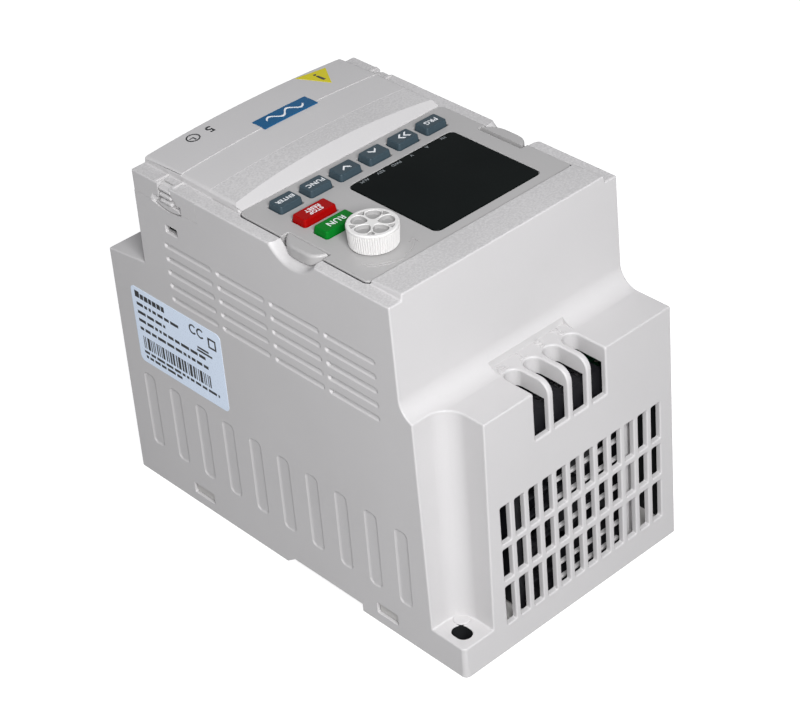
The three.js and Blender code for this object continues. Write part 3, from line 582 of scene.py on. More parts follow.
def side_slots():
    """Shallow slots on both side walls, each deepest in a dimple at its -Y end."""
    slots, dimples = [], []
    for row in range(5):
        z = 104.2 - 5.05 * row
        for y0, y1 in ((-47.0, -24.3), (-21.9, 0.8), (3.2, 25.6), (27.9, 49.9)):
            section = lambda g: rounded(y0, y1, z - 0.85, z + 0.85, 0.84, g, 4)
            rise = lambda y, _: 0.12 * (y - y0) / (y1 - y0)
            slots.append(shallow(section, HALF_W - 0.42, rise))
            dimple = lambda g: circle(y0 + 0.85, z, 0.85 + g, 20)
            dimples.append(shallow(dimple, HALF_W - 0.75, lambda *_: 0))
    return both_sides(slots), both_sides(dimples)


def side_grooves():
    """Ten shallow upright panels, deepest along their lower -Y edges."""
    lofts = []
    for i in range(10):
        y0 = -70.1 + 13.57 * i
        section = lambda g: rounded(y0, y0 + 5.4, 15.5, 44.5, 1.7, g, 6)
        rise = lambda y, z: 0.1 * (y - y0) / 5.4 + 0.05 * (z - 15.5) / 29
        lofts.append(shallow(section, HALF_W - 0.42, rise, 0.9))
    return both_sides(lofts)


def latch_sag(t):
    """Height of the latch's lower edge, from its -Y end (-1) to its +Y end (1)."""
    return 118.5 + 0.8 * t * t + (0.5 * t * t if t < 0 else 0)


def relief_outline(spread):
    """The relief under a latch pad, spreading out towards -Y near the surface."""
    points = []
    for i in range(-8, 9):
        t = i / 8
        points.append((LATCH_Y + 0.3 + 6.2 * t - 3.3 * spread * max(-t, 0) ** 1.5, latch_sag(t) - 0.62))
    return [*points, (LATCH_Y + 6.5, 122), (LATCH_Y - 5.9 - 1.8 * spread, 122)]


def latch_flare(floor):
    """Thumb relief round a cover latch, at the +X side."""
    stations = ((floor, 0), (45.4, 0), (46.3, 0.45), (47.3, 1))
    return [ring(relief_outline(spread), "x", x) for x, spread in stations]


def latch_relief():
    """Thumb relief, hook window and arm groove of a cover latch, at the +X side."""
    window = lambda g: rounded(-45.2, -39.6, 109.6, 112.3, 0.3, g, 3)
    groove = box(44, 45.8, -46.6, -38.2, 109.2, 130)
    drafted = pocket(window, "x", 43, HALF_W - SIDE_DRAFT * 111, 0.3)
    return latch_flare(43.5), drafted, groove


def hook_windows():
    lofts = []
    for y0, y1 in ((40.6, 50.0), (-50.2, -39.8)):
        outline = lambda g: rounded(y0, y1, 4.1, 8.2, 0.4, g, 3)
        lofts.append(pocket(outline, "x", 43, HALF_W, 0.25))
    return both_sides(lofts)


def foot_hole():
    sides = (FOOT_X - HOLE_X, FOOT_X + HOLE_X, FOOT_Y - HOLE_Y, FOOT_Y + HOLE_Y)
    return pocket(lambda g: rounded(*sides, HOLE_X - 0.01, g, 8), "z", -1, FOOT_Z, 0.35)


def build_housing():
    shell = housing_blank()
    carve(shell, cavity())
    rooms = (
        (WALL_X, -57.1, 56.2, 80, 109.8),
        (38, 47.4, 56, 109, 126.4),
        (WALL_X, -57.1, SKIRT_Y, 100, 140),
        (COVER_HALF, SKIRT_Y - 1, -14.4, 100, 140),
        (COVER_HALF, -15, COVER_FRONT, 123.2, 140),
        (60, -70, SKIRT_Y, SKIRT_Z + 0.3 - SEAM, 140),
    )
    for half, *sides in rooms:
        carve(shell, [box(-half, half, *sides)])
    seat = lambda g: rounded(-42.6, 42.6, COVER_FRONT, PLATEAU_Y, 2.5, g, 5)
    carve(shell, [pocket(seat, "z", 112, STRIP_Z, 0.15, 10)])
    carve(shell, [box(-14, 14, -5, 11, 108, 113)])
    near_x = (min(INPUT_SLOTS) - 5.2, max(INPUT_SLOTS) + 5.2)
    far_x = (min(OUTPUT_SLOTS) - 5.2, max(OUTPUT_SLOTS) + 5.2)
    carve(shell, [box(*near_x, 63.2, 77.9, RIB_Z, 87.4)], "UNION")
    carve(shell, [box(*far_x, -77.6, -63.2, RIB_Z, 88.2)], "UNION")
    posts = [tube(x, y, 3.2, "z", 102.9, 110.4, 24) for x in (36, -36) for y in (50, -8)]
    carve(shell, posts, "UNION")
    y, z = WALL_END - CREST_ROUND, LEDGE_Z - CREST_ROUND
    crest = [*arc(y, z, CREST_ROUND, 90, 0, 8), (90, z), (90, 95), (y, 95)]
    carve(shell, [prism(crest, "x", INPUT_SLOTS[-1], INPUT_SLOTS[0])])
    for group in wire_slots(INPUT_SLOTS, None) + wire_slots(OUTPUT_SLOTS, far_ledge):
        carve(shell, group)
    carve(shell, both_ends(vents()))
    carve(shell, [box(-18.9, 12.8, 60.8, 66, LEDGE_Z, 97)])
    for group in (*side_slots(), side_grooves()):
        carve(shell, group)
    for loft in latch_relief():
        carve(shell, both_sides([loft]))
    carve(shell, hook_windows())
    carve(shell, both_ends([foot_hole()]))
    rail = [(-3.6, -1), (33.3, -1), (33.3, 3.2), (0.8, 3.2), (-3.6, 0)]
    carve(shell, [prism(rail, "x", -60, 60)])
    carve(shell, [box(-28, 28, -70, -56, 104, 140)])
    dome = boss(lambda g: circle(37.9, 69.0, 2.7 + g, 24), "z", 10, FOOT_Z + 0.45, 0.3)
    carve(shell, both_ends([dome]), "UNION")
    return shell


def grain_faces(obj, where):
    """Gives the faces that a test picks a coarser moulded grain."""
    obj.data.materials.append(grained)
    for polygon in obj.data.polygons:
        if where(polygon.center / MM, polygon.normal):
            polygon.material_index = 1


def shade_duct_faces(obj):
    """Paints the inner faces of the air duct and the foot holes near-black, as painted shade."""
    obj.data.materials.append(duct_painted_shade)
    for polygon in obj.data.polygons:
        x, y, z = (abs(value) for value in polygon.center / MM)
        corner = x > 32.8 and y > 63.7
        duct = x < WALL_X + 0.1 and y < 78.25 and 0.5 < z < DUCT_TOP and not corner
        hole = abs(x - FOOT_X) < HOLE_X + 0.05 and abs(y - FOOT_Y) < HOLE_Y + 0.1 and z < FOOT_Z - 0.3
        if duct or (hole and abs(polygon.normal.z) < 0.3):
            polygon.material_index = 2


housing = polish(build_housing(), casing, "chassis", ["main_housing"])
grain_faces(housing, lambda c, n: n.z > 0.95 and c.z > STRIP_Z - 0.3)
shade_duct_faces(housing)


# ---------------- terminal cover
def crown_height(x):
    """Height of the cover's crowned top at its middle stretch."""
    radius = (CROWN_HALF**2 + CROWN**2) / (2 * CROWN)
    return COVER_TOP - radius + sqrt(radius**2 - x**2)


def above(y0, y1, lift0, lift1):
    """Everything above the cover's crowned top, between two stations."""
    inner = CROWN_HALF - SHOULDER
    angles = [radians(15 * i) for i in range(7)]
    bend = [(inner + SHOULDER * sin(a), SHOULDER * (1 - cos(a))) for a in angles]
    half = [(inner * i / 15, 0) for i in range(15)] + bend
    curve = [(x, crown_height(x) - drop) for x, drop in half]
    curve = [(-x, z) for x, z in reversed(curve[1:])] + curve

    def section(lift):
        lowest = STRIP_Z + 0.05
        edge = max(curve[0][1] + lift, lowest)
        middle = [(x, max(z + lift, lowest)) for x, z in curve]
        return [(-STEP_X, edge), *middle, (STEP_X, edge), (STEP_X, 142), (-STEP_X, 142)]

    return [ring(section(lift0), "y", y0), ring(section(lift1), "y", y1)]


def latch_face(grow, top):
    """Outline of a latch pad from the side, cut away at its upper +Y corner."""
    y0, y1, corner = LATCH_Y0 - grow, LATCH_Y1 + grow, LATCH_Y + 1.45 + grow
    high = min(top, 125.0 + grow)
    bevel = corner if top > 125 else y1 - 2.5
    return [(y0, 117), (y1, 117), (y1, 122.2 + grow), (bevel, high), (corner, top), (y0, top)]


def build_cover():
    bevel, high = 5.8 / 3.7, KEYPAD_TOP + 5.2
    outline = [(COVER_FAR, 119.5), (COVER_FRONT, 119.5), (COVER_FRONT, KEYPAD_TOP)]
    outline += [(COVER_FRONT - 5.2 * bevel, high), (COVER_FAR, high)]
    lean = lambda x, y, z: (x - math.copysign(0.12 * max(z - STRIP_Z, 0), x), y, z)
    cover = mesh_object("cover_shell", [moved(prism(outline, "x", -COVER_HALF, COVER_HALF), lean)])
    rear = REAR_SLOPE * (CREASE_Y + 70)
    carve(cover, [above(-70, 0, 0, 0)])
    carve(cover, [above(-70, CREASE_Y, -rear, 0)])
    skirt = rounded(-HALF_W, HALF_W, COVER_FAR, SKIRT_Y + 2, 0.7, 0, 4)
    carve(cover, [moved(prism(skirt, "z", 117, STRIP_Z), side_draft)], "UNION")
    soften(cover, 0.42)
    carve(cover, [box(-60, 60, -70, 0, 100, SKIRT_Z + 0.3)])
    carve(cover, both_sides([box(41.75, 60, SKIRT_Y - SEAM, 0, 100, 127.2)]))
    carve(cover, [above(CREASE_Y, -5, -REAR_STEP, -REAR_STEP)])
    carve(cover, [above(-27.5, -5, -REAR_STEP - 0.08, -REAR_STEP - 0.3)])
    inner = [(-57.3, 110), (-14.4, 110), (-14.4, 125), (-19.4, 127.3), (-41, 127.3), (-57.3, 126)]
    carve(cover, [prism(inner, "x", -39.2, 39.2)])
    carve(cover, [box(-WALL_X, WALL_X, -57.3, -31, 110, 124.8)])
    carve(cover, [box(-60, 60, SKIRT_Y - SEAM, 0, 100, 123.6)])
    carve(cover, both_sides([prism(latch_face(0.25, 124.8), "x", 40, 50)]))
    carve(cover, both_sides([prism(latch_face(0.25, 130), "x", 44.1, 50)]))
    ribs = []
    for y, x in ((LATCH_Y - 5.7, 46.8), (LATCH_Y + 1.75, 45.9)):
        profile = [(41.5, 126), (41.5, 127.35), (x - 0.8, 127.35), (x - 0.3, 127.15)]
        profile += [(x, 126.6), (x, 125.5), (x - 0.8, 125)]
        ribs.append(boss(lambda g: profile, "y", y, y + 0.95, 0))
    carve(cover, both_sides(ribs), "UNION")
    carve(cover, both_sides([latch_flare(45.0)]))
    return cover


cover = polish(build_cover(), casing, "terminal_cover", ["terminal_cover"], 25)
grain_faces(
    cover,
    lambda c, n: n.z > 0.93 and (c.y > -27.5 or abs(c.x) > 42) and c.z > STRIP_Z - 0.3,
)


def latch(side, hand):
    """Ridged thumb pad with a lip under it, over an arm with its hook."""
    profile = [(42.3, 119.7), (45.8, 119.7), (45.9, 124.8), (45.7, 125.8), (45.1, 126.5)]
    profile += [(44.35, 126.6), (44.35, 124.3), (42.3, 124.3)]
    obj = mesh_object(f"latch_{hand}_pad", on_side(side, [prism(profile, "y", LATCH_Y0, LATCH_Y1)]))
    carve(obj, on_side(side, [prism(latch_face(0, 130), "x", 38, 50)]), "INTERSECT")
    soften(obj, 0.18, 2)
    ridges = []
    for z in (120.5, 122.7, 124.9):
        stations = ((45.4, 0.2), (46.75, 0.1), (47.05, -0.1), (47.15, -0.3))
        section = lambda g: rounded(LATCH_Y0 + 0.6, LATCH_Y1 - 2.1, z, z + 1.0, 0.3, g, 3)
        ridges.append([ring(section(grow), "x", x) for x, grow in stations])
    carve(obj, on_side(side, ridges), "UNION")
    sag = [(LATCH_Y + 0.3 + 5.9 * i / 8, latch_sag(i / 8)) for i in range(-8, 9)]
    top = [(LATCH_Y + 4.4, 120.2), (LATCH_Y - 3.9, 120.2)]
    lip = prism([*sag, *top], "x", 44.7, 46.85)
    neck = box(44.7, 46.3, LATCH_Y0 + 0.3, LATCH_Y1 - 0.3, 119, 120)
    arm_face = lambda g: rounded(LATCH_Y - 2.5, LATCH_Y + 2.5, 110.8, 121, 0.4, g, 3)
    arm = boss(arm_face, "x", 42.3, 44.1, 0.3)
    hook = [(43.4, 111.3), (45.0, 111.3), (45.0, 111.8), (44.3, 112.9), (43.4, 112.9)]
    for loft in (lip, neck, arm, prism(hook, "y", LATCH_Y - 2.4, LATCH_Y + 2.4)):
        carve(obj, on_side(side, [loft]), "UNION")
    return obj


for side, hand in SIDES:
    body = f"cover_latch_{hand}"
    polish(latch(side, hand), casing, body, [body])


# ---------------- keypad
GREY, RED, GREEN = (key_grey, "key_grey"), (key_red, "key_red"), (key_green, "key_green")
KEYS = (
    ("key_program", "PRG", 2.7, *GREY),
    ("key_shift", ">>", 1.4, *GREY),
    ("key_up", "^", 1.5, *GREY),
    ("key_down", "v", 1.5, *GREY),
    ("key_function", "FUNC", 2.5, *GREY),
    ("key_enter", "ENTER", 2.2, *GREY),
    ("key_stop", "STOP\nRESET", 2.1, *RED),
    ("key_run", "RUN", 3.2, *GREEN),
)


def key_sides(name, grow=0.0):
    """Sides of a key's cap, inside the flange that holds it in the keypad."""
    (x0, y0, _), (x1, y1, _) = span(name)
    inset = KEY_FLANGE - grow
    return x0 + inset, x1 - inset, y0 + inset, y1 - inset


def build_keypad():
    outline = lambda g: rounded(-42.2, 42.2, KEYPAD_FRONT, 44.75, 2.2, g, 6)
    shell = mesh_object("keypad_shell", [boss(outline, "z", 112.3, KEYPAD_TOP, 0.3)])
    room = lambda g: rounded(-40.5, 40.5, -10.1, 43.1, 1.5, g, 4)
    carve(shell, [prism(room(0), "z", 110, KEYPAD_TOP - 2)])
    wall = [box(37.6, 39.2, 4.8, 27.4, 112.3, KEYPAD_TOP - 1)]
    carve(shell, both_sides(wall), "UNION")
    tab = [pocket(lambda g: rounded(39.3, 55, 6.85, 25.35, 0.45, g, 5), "z", 110, KEYPAD_TOP, 0.45)]
    carve(shell, both_sides(tab))
    window = lambda g: rounded(*WINDOW, 2.2, g, 6)
    carve(shell, [pocket(window, "z", KEYPAD_TOP - 1.2, KEYPAD_TOP, 0.2)])
    x0, x1, y0, y1 = WINDOW
    carve(shell, [box(x0 + 3.4, x1 - 3.4, y0 + 3.4, y1 - 3.4, 120, 128)])
    openings = []
    for name, *_ in KEYS:
        section = lambda g: rounded(*key_sides(name, KEY_GAP), 0.9, g, 4)
        openings.append(pocket(section, "z", 120, KEYPAD_TOP, 0.2))
    carve(shell, openings)
    carve(shell, [pocket(lambda g: circle(KNOB_X, KNOB_Y, 3.6 + g, 32), "z", 120, KEYPAD_TOP, 0.3)])
    return shell


polish(build_keypad(), keypad_plastic, "keypad", ["keypad_housing"])


def keypad_shadow_strip():
    """A dark strip that paints the shadow in the gap round the keypad, broken at the thumb scoops."""
    outline = rounded(-42.55, 42.55, -13.1, 45.15, 2.45)
    shadow_strip = mesh_object("keypad_shadow_strip", [prism(outline, "z", 123.8, STRIP_Z - 0.03)])
    carve(shadow_strip, [prism(rounded(-42.25, 42.25, -14, 44.8, 2.2), "z", 120, 130)])
    gaps = ((-15, -12.6), (SCOOP_Y - 10, SCOOP_Y + 10))
    carve(shadow_strip, [box(-50, 50, y0, y1, 120, 130) for y0, y1 in gaps])
    return shadow_strip


# The dark strip stands in for the shadow in the keypad gap: painted shadow.
polish(keypad_shadow_strip(), rubber, "chassis")

pane_edge = lambda g: rounded(*WINDOW, 2.25, g - 0.25, 6)
pane = boss(pane_edge, "z", KEYPAD_TOP - 0.9, KEYPAD_TOP + 0.12, 0.15)
shape("display_pane", [pane], glass, "keypad", ["display_window"])

for text, x in (("Hz", -28.0), ("A", -21.0), ("V", -14.4), ("FWD", -8.0), ("REV", -1.5), ("ALM", 5.1)):
    name = f"unit_{text}"
    place = (x, 2.75, KEYPAD_TOP + 0.12)
    lettering(name, text, 1.7, *place, ink_grey, "keypad", "key_grey", 0.02, 1.05, 0.03)


def chevron(x, y, z, dx, dy, size, stroke):
    """A pointed mark whose tip is turned towards (dx, dy)."""
    half = [(0.5, 0), (-0.5, 1), (-0.5 - stroke, 1), (0.5 - stroke, 0)]
    outline = [*half, (-0.5 - stroke, -1), (-0.5, -1)]
    points = [(x + size * (a * dx - b * dy), y + size * (a * dy + b * dx)) for a, b in outline]
    return prism(points, "z", z - 0.05, z + 0.06)


def build_key(name, text, size, material, slot_name):
    """A key's cap on its flange, with a printed legend or pointed marks."""
    (_, _, foot), (_, _, top) = span(name)
    x, y = middle(name, 0), middle(name, 1)
    cap = lambda g: rounded(*key_sides(name), 1.0, g, 5)
    rings = [ring(cap(0), "z", foot), ring(cap(0), "z", KEYPAD_TOP + 0.2)]
    rings += [ring(cap(-0.28 - grow), "z", depth) for depth, grow in quarter(top, -1, 0.4, 4)]
    obj = mesh_object(name + "_cap", [rings])
    carve(obj, [box(*key_sides(name, KEY_FLANGE), foot, foot + 1.3)], "UNION")
    polish(obj, material, name, [name], 40)
    if text == ">>":
        marks = [chevron(x + dx, y, top, 1, 0, size, 0.55) for dx in (-1.05, 1.05)]
    elif text in "^v":
        marks = [chevron(x, y, top, 0, 1 if text == "^" else -1, size, 0.5)]
    else:
        lettering(name + "_legend", text, size, x, y, top, ink_white, name, slot_name, 0.05, 1.06, 0.03)
        return
    shape(name + "_legend", marks, ink_white, name)


for key in KEYS:
    build_key(*key)


def tab_outline(grow):
    """Straight inner edge and a bowed outer one, blunter at the +Y end."""
    points = []
    for i in range(41):
        t = i / 20 - 1
        bow = 1 - abs(t) ** (5 if t > 0 else 3)
        points.append((40.1 + (4.3 + grow) * bow, SCOOP_Y + (9 + grow) * t))
    return points


def build_tab(side, hand):
    """Thumb pad whose underside follows the scoop, and the lever under it."""
    pad = boss(tab_outline, "z", 119.9, KEYPAD_TOP + 0.45, 0.95, 5)
    bowl = prism(scoop_section(9.1, 124.05, 4.5), "x", 38, 52)
    lever = box(40.1, 41.9, 9.7, 22.5, 114, 125.4)
    obj = mesh_object(f"tab_{hand}_pad", on_side(side, [pad]))
    carve(obj, on_side(side, [bowl]), "INTERSECT")
    carve(obj, on_side(side, [lever]), "UNION")
    return obj


for side, hand in SIDES:
    body = f"keypad_tab_{hand}"
    polish(build_tab(side, hand), keypad_plastic, body, [body])


# ---------------- knob
def petal(angle):
    """A drop-shaped recess in the knob's top."""
    turns = [2 * math.pi * i / 24 for i in range(24)]
    outline = [(4.15 + 2.6 * cos(t), 2.42 * sin(t) * (1 + 0.3 * cos(t))) for t in turns]
    return turned(outline, angle)


def turned(outline, angle):
    c, s = cos(angle), sin(angle)
    return [(KNOB_X + u * c - v * s, KNOB_Y + u * s + v * c) for u, v in outline]


def shrink(outline, amount):
    """Moves each point of a convex outline towards its middle."""
    cu = sum(u for u, _ in outline) / len(outline)
    cv = sum(v for _, v in outline) / len(outline)
    points = []
    for u, v in outline:
        length = math.hypot(u - cu, v - cv)
        k = max(length - amount, 0.05) / length
        points.append((cu + (u - cu) * k, cv + (v - cv) * k))
    return points


def build_knob():
    teeth, z0, z1 = 66, KNOB_FOOT, KNOB_TOP
    rings = []
    profile = [(z0, 7.3, 0), (z0 + 0.25, 7.55, 0.36), (z1 - 0.95, 7.97, 0.36), (z1 - 0.75, 7.9, 0.02)]
    profile += [(z1 - 0.4, 7.97, 0), (z1 - 0.15, 7.85, 0), (z1, 7.5, 0)]
    for z, radius, tooth in profile:
        points = []
        for i in range(teeth * 4):
            a = 2 * math.pi * i / (teeth * 4)
            r = radius - (tooth if i % 4 in (0, 1) else 0)
            points.append((KNOB_X + r * cos(a), KNOB_Y + r * sin(a), z))
        rings.append(points)
    obj = mesh_object("knob_cap", [rings])
    steps = ((-1.3, 0.5), (-1.2, 0.34), (-0.2, 0.12), (0.0, 0.0), (1.0, -0.2))
    petals, corners = [], []
    for i in range(5):
        angle = 2 * math.pi / 5 * i + PETAL_TURN
        outline = petal(angle)
        petals.append([ring(shrink(outline, inset), "z", z1 + dz) for dz, inset in steps])
        wedge = [(5.5, -0.75), (6.75, -1.35), (6.95, 0), (6.75, 1.35), (5.5, 0.75), (4.7, 0)]
        wedge = turned(wedge, angle + math.pi / 5)
        corners.append([ring(shrink(wedge, inset * 0.6), "z", z1 + dz * 0.7) for dz, inset in steps])
    carve(obj, petals)
    carve(obj, corners)
    carve(obj, [tube(KNOB_X, KNOB_Y, 3.3, "z", 127, 132.6, 32)])
    return obj


def recess_shade_faces(obj):
    """Gives the floors and walls of the knob's recesses a darker, rougher material: painted shade."""
    obj.data.materials.append(knob_recess_shade)
    for polygon in obj.data.polygons:
        x, y, z = polygon.center / MM
        inside = math.hypot(x - KNOB_X, y - KNOB_Y) < 7.0
        if inside and KNOB_TOP - 1.6 < z < KNOB_TOP - 0.2:
            polygon.material_index = 1


recess_shade_faces(polish(build_knob(), knob_plastic, "dial", ["knob"], 50))


def arc_mark(radius, width, start, end):
    """A raised arc on the keypad round the knob."""
    outer = arc(KNOB_X, KNOB_Y, radius + width / 2, start, end, 24)
    inner = arc(KNOB_X, KNOB_Y, radius - width / 2, end, start, 24)
    return prism(outer + inner, "z", KEYPAD_TOP - 0.1, KEYPAD_TOP + 0.22)


def arrow_head():
    """The turn mark's open arrow head, at the end of its thick arc."""
    outline = [(11.6, 1.6), (13.1, -0.6), (12.7, -1.2), (11.6, 0.6), (10.5, -1.2), (10.1, -0.6)]
    return prism(turned(outline, radians(140)), "z", KEYPAD_TOP - 0.1, KEYPAD_TOP + 0.22)


turn_mark = [arc_mark(11.2, 0.35, 28, 75), arc_mark(12.3, 0.35, 36, 92), arc_mark(11.6, 0.6, 100, 136)]
shape("knob_turn_mark", [*turn_mark, arrow_head()], keypad_plastic, "keypad")


# ---------------- marks and label
def cover_height(x, y):
    """Height of the cover's rear part, carried on level in front of its crease."""
    return crown_height(x) + REAR_SLOPE * min(y - CREASE_Y, 0)


def film(points, thick):
    """A film sunk 0.5 mm into the cover: points are (x, y0, y1) across its crown."""
    loft = []
    for x, y0, y1 in points:
        ys = [y0, min(max(CREASE_Y, y0 + 1e-3), y1 - 1e-3), y1]
        low = [(x, y, cover_height(x, y) - 0.5) for y in ys]
        high = [(x, y, cover_height(x, y) + thick) for y in reversed(ys)]
        loft.append(low + high)
    return loft


def wave_mark():
    """A plain sine wave, the generic sign for alternating output."""
    points = []
    for i in range(61):
        x = -10.5 + 15 * i / 60
        middle = -43.1 + 1.5 * sin((x + 10.5) / 15 * 4 * math.pi)
        points.append((x, middle - 0.42, middle + 0.42))
    return film(points, 0.22)


plate = film([(x, -46.3, -39.9) for x in range(-14, 9)], 0.14)
shape("badge_plate", [plate], badge_film, "terminal_cover", ["badge"])
shape("badge_wave", [wave_mark()], ink_white, "terminal_cover")

TRIANGLE = ((-20.7, -58.6), (-32.5, -57.1), (-26.4, -47.1))


def on_cover(outline, thick):
    return [[(x, y, cover_height(x, y) + t) for x, y in outline] for t in (-0.3, thick)]


triangle = on_cover(TRIANGLE, 0.12)
shape("caution_triangle", [triangle], caution_film, "terminal_cover", ["caution_mark"])
bar = [(-26.9, -54.4), (-26.05, -54.4), (-25.9, -50.6), (-27.05, -50.6)]
sign = [on_cover(bar, 0.16), on_cover(circle(-26.48, -55.5, 0.55, 16), 0.16)]
shape("caution_sign", sign, ink_dark, "terminal_cover")
rim = arc(25.2, -54.7, 2.4, 0, 356, 28) + arc(25.2, -54.7, 1.9, 356, 0, 28)
hands = (rect(24.95, 25.4, -55.0, -53.2), rect(25.4, 26.6, -55.0, -54.6))
clock = [on_cover(outline, 0.08) for outline in (rim, *hands)]
shape("clock_mark", clock, ink_dark, "terminal_cover")
place, look = (18.6, -54.6, 0), (ink_dark, "terminal_cover", "casing")
lettering("clock_minutes", "5", 5.2, *place, *look, height=0.08, bold=0.08, lift=cover_height)


def on_wall(outline, lift, thick):
    """A thin piece lying on the +X side wall."""
    return moved(prism(outline, "x", HALF_W + lift, HALF_W + lift + thick), side_draft)


(_, y0, z0), (_, y1, z1) = span("rating_label")
LABEL = (y0, y1, z0, z1)
sheet = on_wall(rounded(*LABEL, 2.0, 0, 6), 0.0, 0.09)
shape("label_sheet", [sheet], label_film, "chassis", ["rating_label"])


def label_bar(u, v, width, height):
    """A printed bar at a distance from the label's upper left corner."""
    y, z = LABEL[0] + u, LABEL[3] - v
    return on_wall(rounded(y, y + width, z - height, z, 0.02, 0, 1), 0.095, 0.02)


def label_marks():
    """Greeked lines of text and a stripe block."""
    lofts = []
    words = (3.3, 1.9, 4.1, 1.5, 2.7, 3.6, 1.2, 2.4)

    def line(v, u, limit, height, index):
        while u < limit:
            width = min(words[index % 8], limit - u)
            if width > 0.4:
                lofts.append(label_bar(u, v, width, height))
            u += width + 0.75
            index += 3

    heading = ((1.9, 2.3), (4.6, 1.7), (6.7, 1.9), (9.0, 1.5), (10.9, 2.0), (13.3, 1.8), (15.5, 1.6))
    for u, width in heading:
        v, height = (1.5, 2.5) if width > 2.2 else (2.0, 2.0)
        lofts.append(label_bar(u, v, width, height))
    for v, limit, first in ((5.9, 24.5, 0), (9.2, 16.5, 2), (12.4, 36.5, 5), (15.7, 37.5, 1)):
        line(v, 2.2, limit, 1.15, first)
    line(25.0, 2.6, 41.5, 1.0, 4)
    line(26.9, 3.2, 22.0, 1.0, 6)
    u, index = 3.0, 0
    while u < 38.0:
        width = (0.4, 0.9, 0.45, 1.25, 0.6, 0.4, 1.0)[(index * 5 + index // 3) % 7]
        lofts.append(label_bar(u, 19.2, width, 4.8))
        u += width + (0.45, 0.8, 0.5, 0.6)[index % 4]
        index += 1
    for u, v, width in ((33.0, 9.4, 5.6), (32.6, 10.6, 7.6)):
        lofts.append(label_bar(u, v, width, 0.75))
    return lofts


shape("label_print", label_marks(), ink_dark, "chassis")


def label_signs():
    """Two open rings and a square, standing in for approval marks."""
    lofts = []
    for y in (-38.4, -34.6):
        outline = arc(y, 76.0, 1.9, 40, 320, 20) + arc(y, 76.0, 1.25, 320, 40, 20)
        lofts.append(on_wall(outline, 0.095, 0.02))
    square = ((39, 3.4, 4, 0.7), (39, 6.7, 4, 0.7), (39, 4.1, 0.7, 2.6), (42.3, 4.1, 0.7, 2.6))
    return lofts + [label_bar(*side) for side in square]


shape("label_signs", label_signs(), ink_dark, "chassis")

MARK_Z = LEDGE_Z - 0.05
for text, x in zip("RST", reversed(INPUT_SLOTS)):
    name = f"terminal_mark_{text}"
    lettering(name, text, 4.9, x + 0.1, 62.9, MARK_Z, casing, "chassis", "casing", 0.4, 1.0, 0.04)
earth = [(7.9, 12.1, 64.2), (8.7, 11.3, 63.1), (9.4, 10.6, 62.0)]
bars = [box(x0, x1, y, y + 0.55, MARK_Z, MARK_Z + 0.4) for x0, x1, y in earth]
shape("terminal_mark_earth", bars, casing, "chassis")


# ---------------- fan guard
RUNGS = (7.5, 13.5, 28.0, 39.4, 46.3)


def rungs(x0, x1, front):
    """Thin bars across the fan, with rounded front edges."""
    lofts = []
    for z in RUNGS:
        section = lambda g: rounded(x0, x1, z, z + 1.0, 0.3, g, 3)
        lofts.append(boss(section, "y", front - 1.2, front, 0.25))
    return lofts


def guard_bars():
    """Light bars across the fan, between two uprights."""
    obj = mesh_object("guard_bars", rungs(-29.6, 1.4, 75.2))
    for x0, x1 in ((-31.2, -28.9), (-34.3, -31.9)):
        upright = boss(lambda g: rounded(x0, x1, 5.4, 60.4, 0.4, g, 3), "y", 72.85, 75.35, 0.3)
        carve(obj, [upright], "UNION")
    for z in (5.4, 58.6):
        bridge = boss(lambda g: rounded(-33, -30, z, z + 1.8, 0.3, g, 3), "y", 73, 75.2, 0.2)
        carve(obj, [bridge], "UNION")
    return obj


def guard_ring():
    outer = boss(lambda g: rounded(-28.7, 18.8, 6.4, 58.4, 2, g, 5), "y", 72.8, 75.1, 0.3)
    obj = mesh_object("guard_ring", [outer])
    carve(obj, [boss(lambda g: rounded(-27.2, 16.8, 8.4, 56.4, 1.5, g, 5), "y", 71, 77, 0.1)])
    carve(obj, rungs(1.6, 17.5, 75.1), "UNION")
    return obj


polish(guard_bars(), casing, "chassis")
polish(guard_ring(), black_plastic, "chassis", ["fan_guard"])

# ---------------- carried-over CAD nodes
FINISHES = (
    (base_plastic, ("back_plate", "din_clip")),
    (anodised, ("heatsink",)),
    (board, ("power_board", "control_board", "keypad_board")),
    (capacitor_skin, ("link_capacitor_1", "link_capacitor_2")),
    (ferrite, ("choke",)),
    (blue_plastic, ("relay", "pot_body")),
    (green_plastic, ("control_terminal_block",)),
    (rubber, ("key_mat",)),
    (steel, ("pot_shaft", *[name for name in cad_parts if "_screw_" in name])),
    (black_plastic, ("fan_frame", "fan_rotor", "power_module", "rectifier_bridge")),
    (black_plastic, ("input_terminal_block", "output_terminal_block", "keypad_socket")),
    (black_plastic, ("keypad_plug", "led_display")),
)
for finish, names in FINISHES:
    for name in names:
        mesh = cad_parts[name].data
        mesh.materials.clear()
        mesh.materials.append(finish)

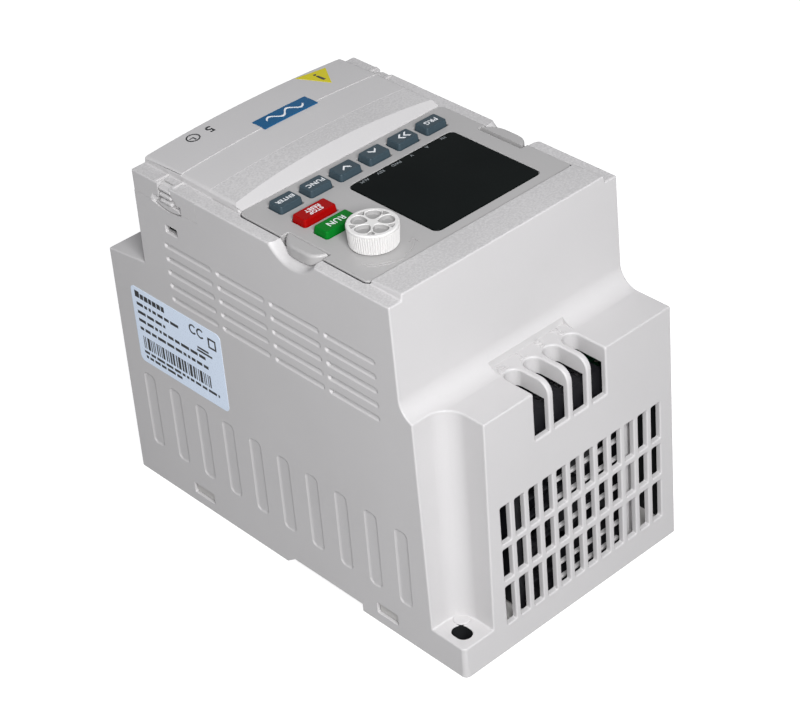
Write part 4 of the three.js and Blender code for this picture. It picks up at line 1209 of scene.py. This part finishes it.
# ---------------- floor, light, camera
floor_paint = Nodes("floor_paint")
floor_tone = floor_paint.ramp(floor_paint.noise(3, 2), [(0.3, 0.37), (0.7, 0.39)])
seen = floor_paint.tree.nodes.new("ShaderNodeLightPath").outputs["Is Camera Ray"]
glow = floor_paint.math("MULTIPLY", seen, 0.85)
floor_paint.into(Base_Color=floor_tone, Roughness=0.7)
floor_paint.into(Emission_Color=(1, 1, 1, 1), Emission_Strength=glow)
floor_mesh = bpy.data.meshes.new("floor")
floor_mesh.from_pydata([(-9, -9, 0), (9, -9, 0), (9, 9, 0), (-9, 9, 0)], [], [(0, 1, 2, 3)])
floor_mesh.materials.append(floor_paint.material)
placed("floor", floor_mesh)

TARGET = (-0.0014, 0.0041, 0.0568)


def area_light(name, position, size, power, colour=(1, 1, 1)):
    """A soft square light, aimed at the middle of the drive."""
    light = bpy.data.lights.new(name, "AREA")
    light.shape = "SQUARE"
    light.size = size
    light.energy = power
    light.color = colour
    obj = placed(name, light)
    obj.location = position
    aim = Vector(TARGET) - Vector(position)
    obj.rotation_euler = aim.to_track_quat("-Z", "Y").to_euler()


area_light("key_light", (0.35, 0.62, 0.62), 0.35, 10.0, (0.985, 0.985, 1.0))
area_light("fill_light", (1.1, -0.2, 0.5), 0.9, 0.8)
area_light("back_light", (-1.0, -0.75, 0.2), 1.0, 2.0)

world = bpy.data.worlds.new("studio")
world.use_nodes = True
background = world.node_tree.nodes["Background"]
background.inputs["Color"].default_value = (0.95, 0.96, 1.0, 1)
background.inputs["Strength"].default_value = 0.26
bpy.context.scene.world = world
bpy.context.scene.view_settings.view_transform = "Standard"

AZIMUTH, ELEVATION, ROLL, DISTANCE = radians(139.73), radians(35.33), radians(-5.03), 0.7621
back = Vector((sin(AZIMUTH) * cos(ELEVATION), -cos(AZIMUTH) * cos(ELEVATION), sin(ELEVATION)))
level = Vector((cos(AZIMUTH), sin(AZIMUTH), 0))
raised = back.cross(level)
right = level * cos(ROLL) + raised * sin(ROLL)
up = raised * cos(ROLL) - level * sin(ROLL)
lens_data = bpy.data.cameras.new("camera")
lens_data.lens = 106.8
lens_data.sensor_width = 36
lens_data.clip_start = 0.01
camera = placed("camera", lens_data)
view = Matrix((right, up, back)).transposed().to_4x4()
view.translation = Vector(TARGET) + back * DISTANCE
camera.matrix_world = view
bpy.context.scene.camera = camera
